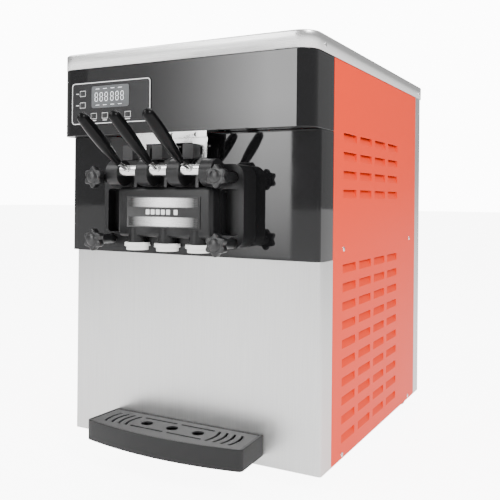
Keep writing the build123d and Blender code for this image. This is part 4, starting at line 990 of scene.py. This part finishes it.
# %% Nozzle caps
star_outline = [(math.radians(step * 30), 10.5 if step % 2 == 0 else 7.6) for step in range(12)]
caps_bm = bmesh.new()
for x in lever_x:
    cap = spun([(0, 406), (19.4, 406), (20, 406.6), (20, 413), (23, 413), (23.5, 413.5), (23.5, 419.5),
                (23, 420), (17.1, 420), (17.1, 409), (0, 409)], at(x, -68, 0), segments=64)
    star = bmesh.new()
    ring = [star.verts.new((radius * MM * math.cos(angle), radius * MM * math.sin(angle), 0))
            for angle, radius in star_outline]
    star.faces.new(ring)
    grown = bmesh.ops.extrude_face_region(star, geom=star.faces[:])["geom"]
    bmesh.ops.translate(star, vec=(0, 0, 8 * MM),
                        verts=[g for g in grown if isinstance(g, bmesh.types.BMVert)])
    bmesh.ops.recalc_face_normals(star, faces=star.faces[:])
    bmesh.ops.translate(star, vec=at(x, -68, 403), verts=star.verts[:])
    join(caps_bm, carve(cap, star))
piece("nozzle_caps", caps_bm, cabinet, nozzle_white, replaces=["nozzle_caps"],
      rounding=0.25 * MM)

# %% Star knobs
for (side_name, side), (level, z) in [(s, l) for s in (("left", -1), ("right", 1))
                                      for l in (("upper", 537), ("lower", 424))]:
    knob_bm = bmesh.new()
    ring = []
    for step in range(96):
        angle = step / 96 * 2 * math.pi
        radius = 17.6 + 2.4 * math.cos(6 * angle + math.pi)
        ring.append(knob_bm.verts.new((radius * MM * math.cos(angle), radius * MM * math.sin(angle), 0)))
    knob_bm.faces.new(ring)
    grown = bmesh.ops.extrude_face_region(knob_bm, geom=knob_bm.faces[:])["geom"]
    bmesh.ops.translate(knob_bm, vec=(0, 0, 14 * MM),
                        verts=[g for g in grown if isinstance(g, bmesh.types.BMVert)])
    bmesh.ops.recalc_face_normals(knob_bm, faces=knob_bm.faces[:])
    rims = [e for e in knob_bm.edges if abs(e.verts[0].co.z - e.verts[1].co.z) < 1e-7]
    round_edges(knob_bm, rims, 2.5 * MM, 5)
    bmesh.ops.rotate(knob_bm, matrix=Matrix.Rotation(math.pi / 2, 3, "X"), verts=knob_bm.verts[:])
    bmesh.ops.translate(knob_bm, vec=(0, -47 * MM, 0), verts=knob_bm.verts[:])
    add_spun(knob_bm, [(0, 46), (8.8, 46), (8.8, 1), (8.3, 0.4), (0, 0.4)], (0, 0, 0), "Y", 40)
    piece_centre = at(side * 129, -60, z)
    bm_dome = spun([(11.5, -0.4)] + dome(11, 4.3, 0.1, 8), (0, 0, 0), segments=40)
    bmesh.ops.rotate(bm_dome, matrix=Matrix.Rotation(math.pi / 2, 3, "X"), verts=bm_dome.verts[:])
    bmesh.ops.translate(bm_dome, vec=(0, -61 * MM, 0), verts=bm_dome.verts[:])
    join(knob_bm, bm_dome)
    for vert in knob_bm.verts:
        if vert.co.y > 0:
            vert.co.y = -vert.co.y
    bmesh.ops.recalc_face_normals(knob_bm, faces=knob_bm.faces[:])
    bmesh.ops.translate(knob_bm, vec=piece_centre, verts=knob_bm.verts[:])
    piece(f"star_knob_{side_name}_{level}", knob_bm, f"knob_{side_name}_{level}", part_black,
          replaces=[f"star_knob_{side_name}_{level}"], sharp=40.0)

# %% [markdown]
# ## Switch bracket
# A folded steel strip hangs below the hood. Its tabs carry the switches that each lever works, and each
# tab has an upright slot for adjusting them.

# %% Bracket
bracket_bm = bmesh.new()
for spans in (((-94.3, 69.5), (-51.5, -16.5), (618, 620)), ((-14.5, 69.5), (-52, -50), (609, 620)),
              ((-94.3, 69.5), (-48, -46), (600, 618))):
    block_at(bracket_bm, *spans)
for x in lever_x:
    block_at(bracket_bm, (x - 27.3, x + 2.5), (-48, -46), (573, 602))
bracket_cut = bmesh.new()
for x in lever_x:
    cut = block_at(bracket_cut, (x - 9.4 - 2.2, x - 9.4 + 2.2), (-60, -40), (577.5, 592.5))
    round_edges(bracket_cut, edges_along(cut, 1), 2.1 * MM, 5)
for x in (-3.5, 47.5):
    rod_at(bracket_cut, "Y", -60, -49, (x, 614.5), 4.5, segments=28)
bracket_bm = carve(bracket_bm, bracket_cut)
piece("switch_bracket", bracket_bm, cabinet, bright_steel, replaces=["switch_bracket"],
      rounding=0.5 * MM)

# %% [markdown]
# ## Drip tray and grid
# The tray is a moulded bowl with a bowed front. Its outline is drawn once, filled and extruded; a
# smaller copy of the outline, extruded the same way, is cut out of it to leave the wall and the well. The
# grid uses the same outline, a little smaller, with its round holes and bowed slots cut through.

# %% The tray's outline
def tray_outline(inset):
    """The outline of the tray in front-panel mm, drawn inset from its outer edge."""
    back, front_half, side_y, bow_y = 161 - inset, 165 - inset, -83 + inset * 0.4, -106 + inset
    points = [(back, -0.5 - inset)]
    corner = 9 - min(inset, 5)
    for step in range(7):
        angle = step / 6 * math.pi / 2 * 0.86
        points.append((front_half - corner + corner * math.cos(angle), side_y + corner * 0.4
                       - corner * math.sin(angle)))
    reach = points[-1]
    for step in range(1, 32):
        share = step / 32
        x = reach[0] * (1 - 2 * share)
        points.append((x, reach[1] + (bow_y - reach[1]) * (1 - (x / reach[0]) ** 2)))
    return points + [(-x, y) for x, y in points[7::-1]]


def filled(points, z):
    """A flat face through a list of places, as a new bmesh."""
    bm = bmesh.new()
    bm.faces.new([bm.verts.new(at(x, y, z)) for x, y in points])
    bm.normal_update()
    return bm


def raised(bm, height):
    """Extrudes every face of a flat bmesh upwards."""
    grown = bmesh.ops.extrude_face_region(bm, geom=bm.faces[:])["geom"]
    bmesh.ops.translate(bm, vec=(0, 0, height * MM), verts=[g for g in grown
                                                            if isinstance(g, bmesh.types.BMVert)])
    bmesh.ops.recalc_face_normals(bm, faces=bm.faces[:])
    return bm


# %% Tray
tray_bm = raised(filled(tray_outline(0), 48), 37)
well_bm = raised(filled(tray_outline(5), 51), 40)
tray_bm = carve(tray_bm, well_bm)
tray_cut = bmesh.new()
for side in (-1, 1):
    block_at(tray_cut, (side * 100 - 13, side * 100 + 13), (-16, 2), (58, 66))
tray_bm = carve(tray_bm, tray_cut)
piece("drip_tray", tray_bm, "tray", tray_black, replaces=["drip_tray"],
      rounding=1.4 * MM, rounds=4, sharp=40.0)

# %% Grid
grid_bm = raised(filled(tray_outline(5.6), 81.4), 3)
holes = bmesh.new()
for x in (-55.5, 0, 55.5):
    rod_at(holes, "Z", 70, 95, (x, -48), 11, segments=36)
for y in (-24, -72):
    for x in (-38, 38):
        middle = x * 1.06
        cut = block_at(holes, (middle - 36, middle + 36), (y - 2.5, y + 2.5), (70, 95))
        round_edges(holes, edges_along(cut, 2), 2.3 * MM, 5)
for side in (-1, 1):
    for x in (86, 101.4, 116.8, 132.2):
        outline = []
        for step in range(13):
            share = step / 12 * 2 - 1
            outline.append((x + 5 * (1 - share ** 2), -48 + share * 25.5))
        ring = [(px - 2.5, py) for px, py in outline] + [(px + 2.5, py) for px, py in outline[::-1]]
        slot_bm = raised(filled([(side * px, py) for px, py in ring][::side], 70), 25)
        join(holes, slot_bm)
grid_bm = carve(grid_bm, holes)
piece("drip_grid", grid_bm, "tray_grid", grid_grey, replaces=["drip_grid"],
      rounding=0.5 * MM, rounds=2)

# %% [markdown]
# ## Twin hopper
# Under each lid a deep basin holds the mix. The two basins are pressed from one sheet: the flat flange
# gets two rounded openings, and each basin hangs below as an open box with rounded corners.

# %% Basins
flange_low, flange_top = 780, 781.5
basin_centres = (-105, 105)
hollow_bm = bmesh.new()
for x in basin_centres:
    verts = block_at(hollow_bm, (x - 88.5, x + 88.5), (121.5, 418.5), (616.5, 790))
    round_edges(hollow_bm, edges_along(verts, 2) + [e for e in hollow_bm.edges
                if all(abs(v.co.z - 616.5 * MM) < 1e-6 for v in e.verts)], 1.5 * MM, 3)
for x in (-66, 66):
    rod_at(hollow_bm, "Z", 600, 625, (x, 190), 9.2, segments=32)
outer_bm = bmesh.new()
verts = block_at(outer_bm, (-205, 205), (110, 430), (flange_low, flange_top))
round_edges(outer_bm, edges_along(verts, 2), 3 * MM, 4)
walls_bm = bmesh.new()
for x in basin_centres:
    verts = block_at(walls_bm, (x - 90, x + 90), (120, 420), (615, flange_low + 0.5))
    round_edges(walls_bm, edges_along(verts, 2) + [e for e in walls_bm.edges
                if all(abs(v.co.z - 615 * MM) < 1e-6 for v in e.verts)], 2.5 * MM, 3)
hopper_bm = carve(carve(outer_bm, walls_bm, "UNION"), hollow_bm)
piece("twin_hopper", hopper_bm, cabinet, cover_steel, replaces=["twin_hopper"],
      sharp=28.0)

# %% [markdown]
# ## Inner machinery
# The pieces inside the cabinet are only seen through the louvres and in the exploded views, so they keep
# the CAD mesh. Each is shaded with the finish it would have in life.

# %% Finishes for the inner pieces
inner_finishes = {
    "base_pan": galvanised, "frame_posts": galvanised, "freezing_cylinders": bright_steel,
    "beater_left": nozzle_white, "beater_right": nozzle_white, "gear_reducers": cast_black,
    "driven_pulley_left": cast_black, "driven_pulley_right": cast_black, "motor_pulley": cast_black,
    "drive_belt": rubber, "drive_motor": part_black, "compressor": cast_black, "condenser": fin_metal,
    "fan_blade": part_black, "fan_motor": galvanised, "feed_tubes": bright_steel,
    "door_gaskets": rubber, "door_studs": bright_steel, "lever_pivot_pin": bright_steel,
    "microswitches": part_black, "draw_plunger_left": part_black, "draw_plunger_middle": part_black,
    "draw_plunger_right": part_black,
}
for name, material in inner_finishes.items():
    node = nodes[name]
    node.data.materials.clear()
    node.data.materials.append(material)
print("inner pieces finished:", len(inner_finishes))
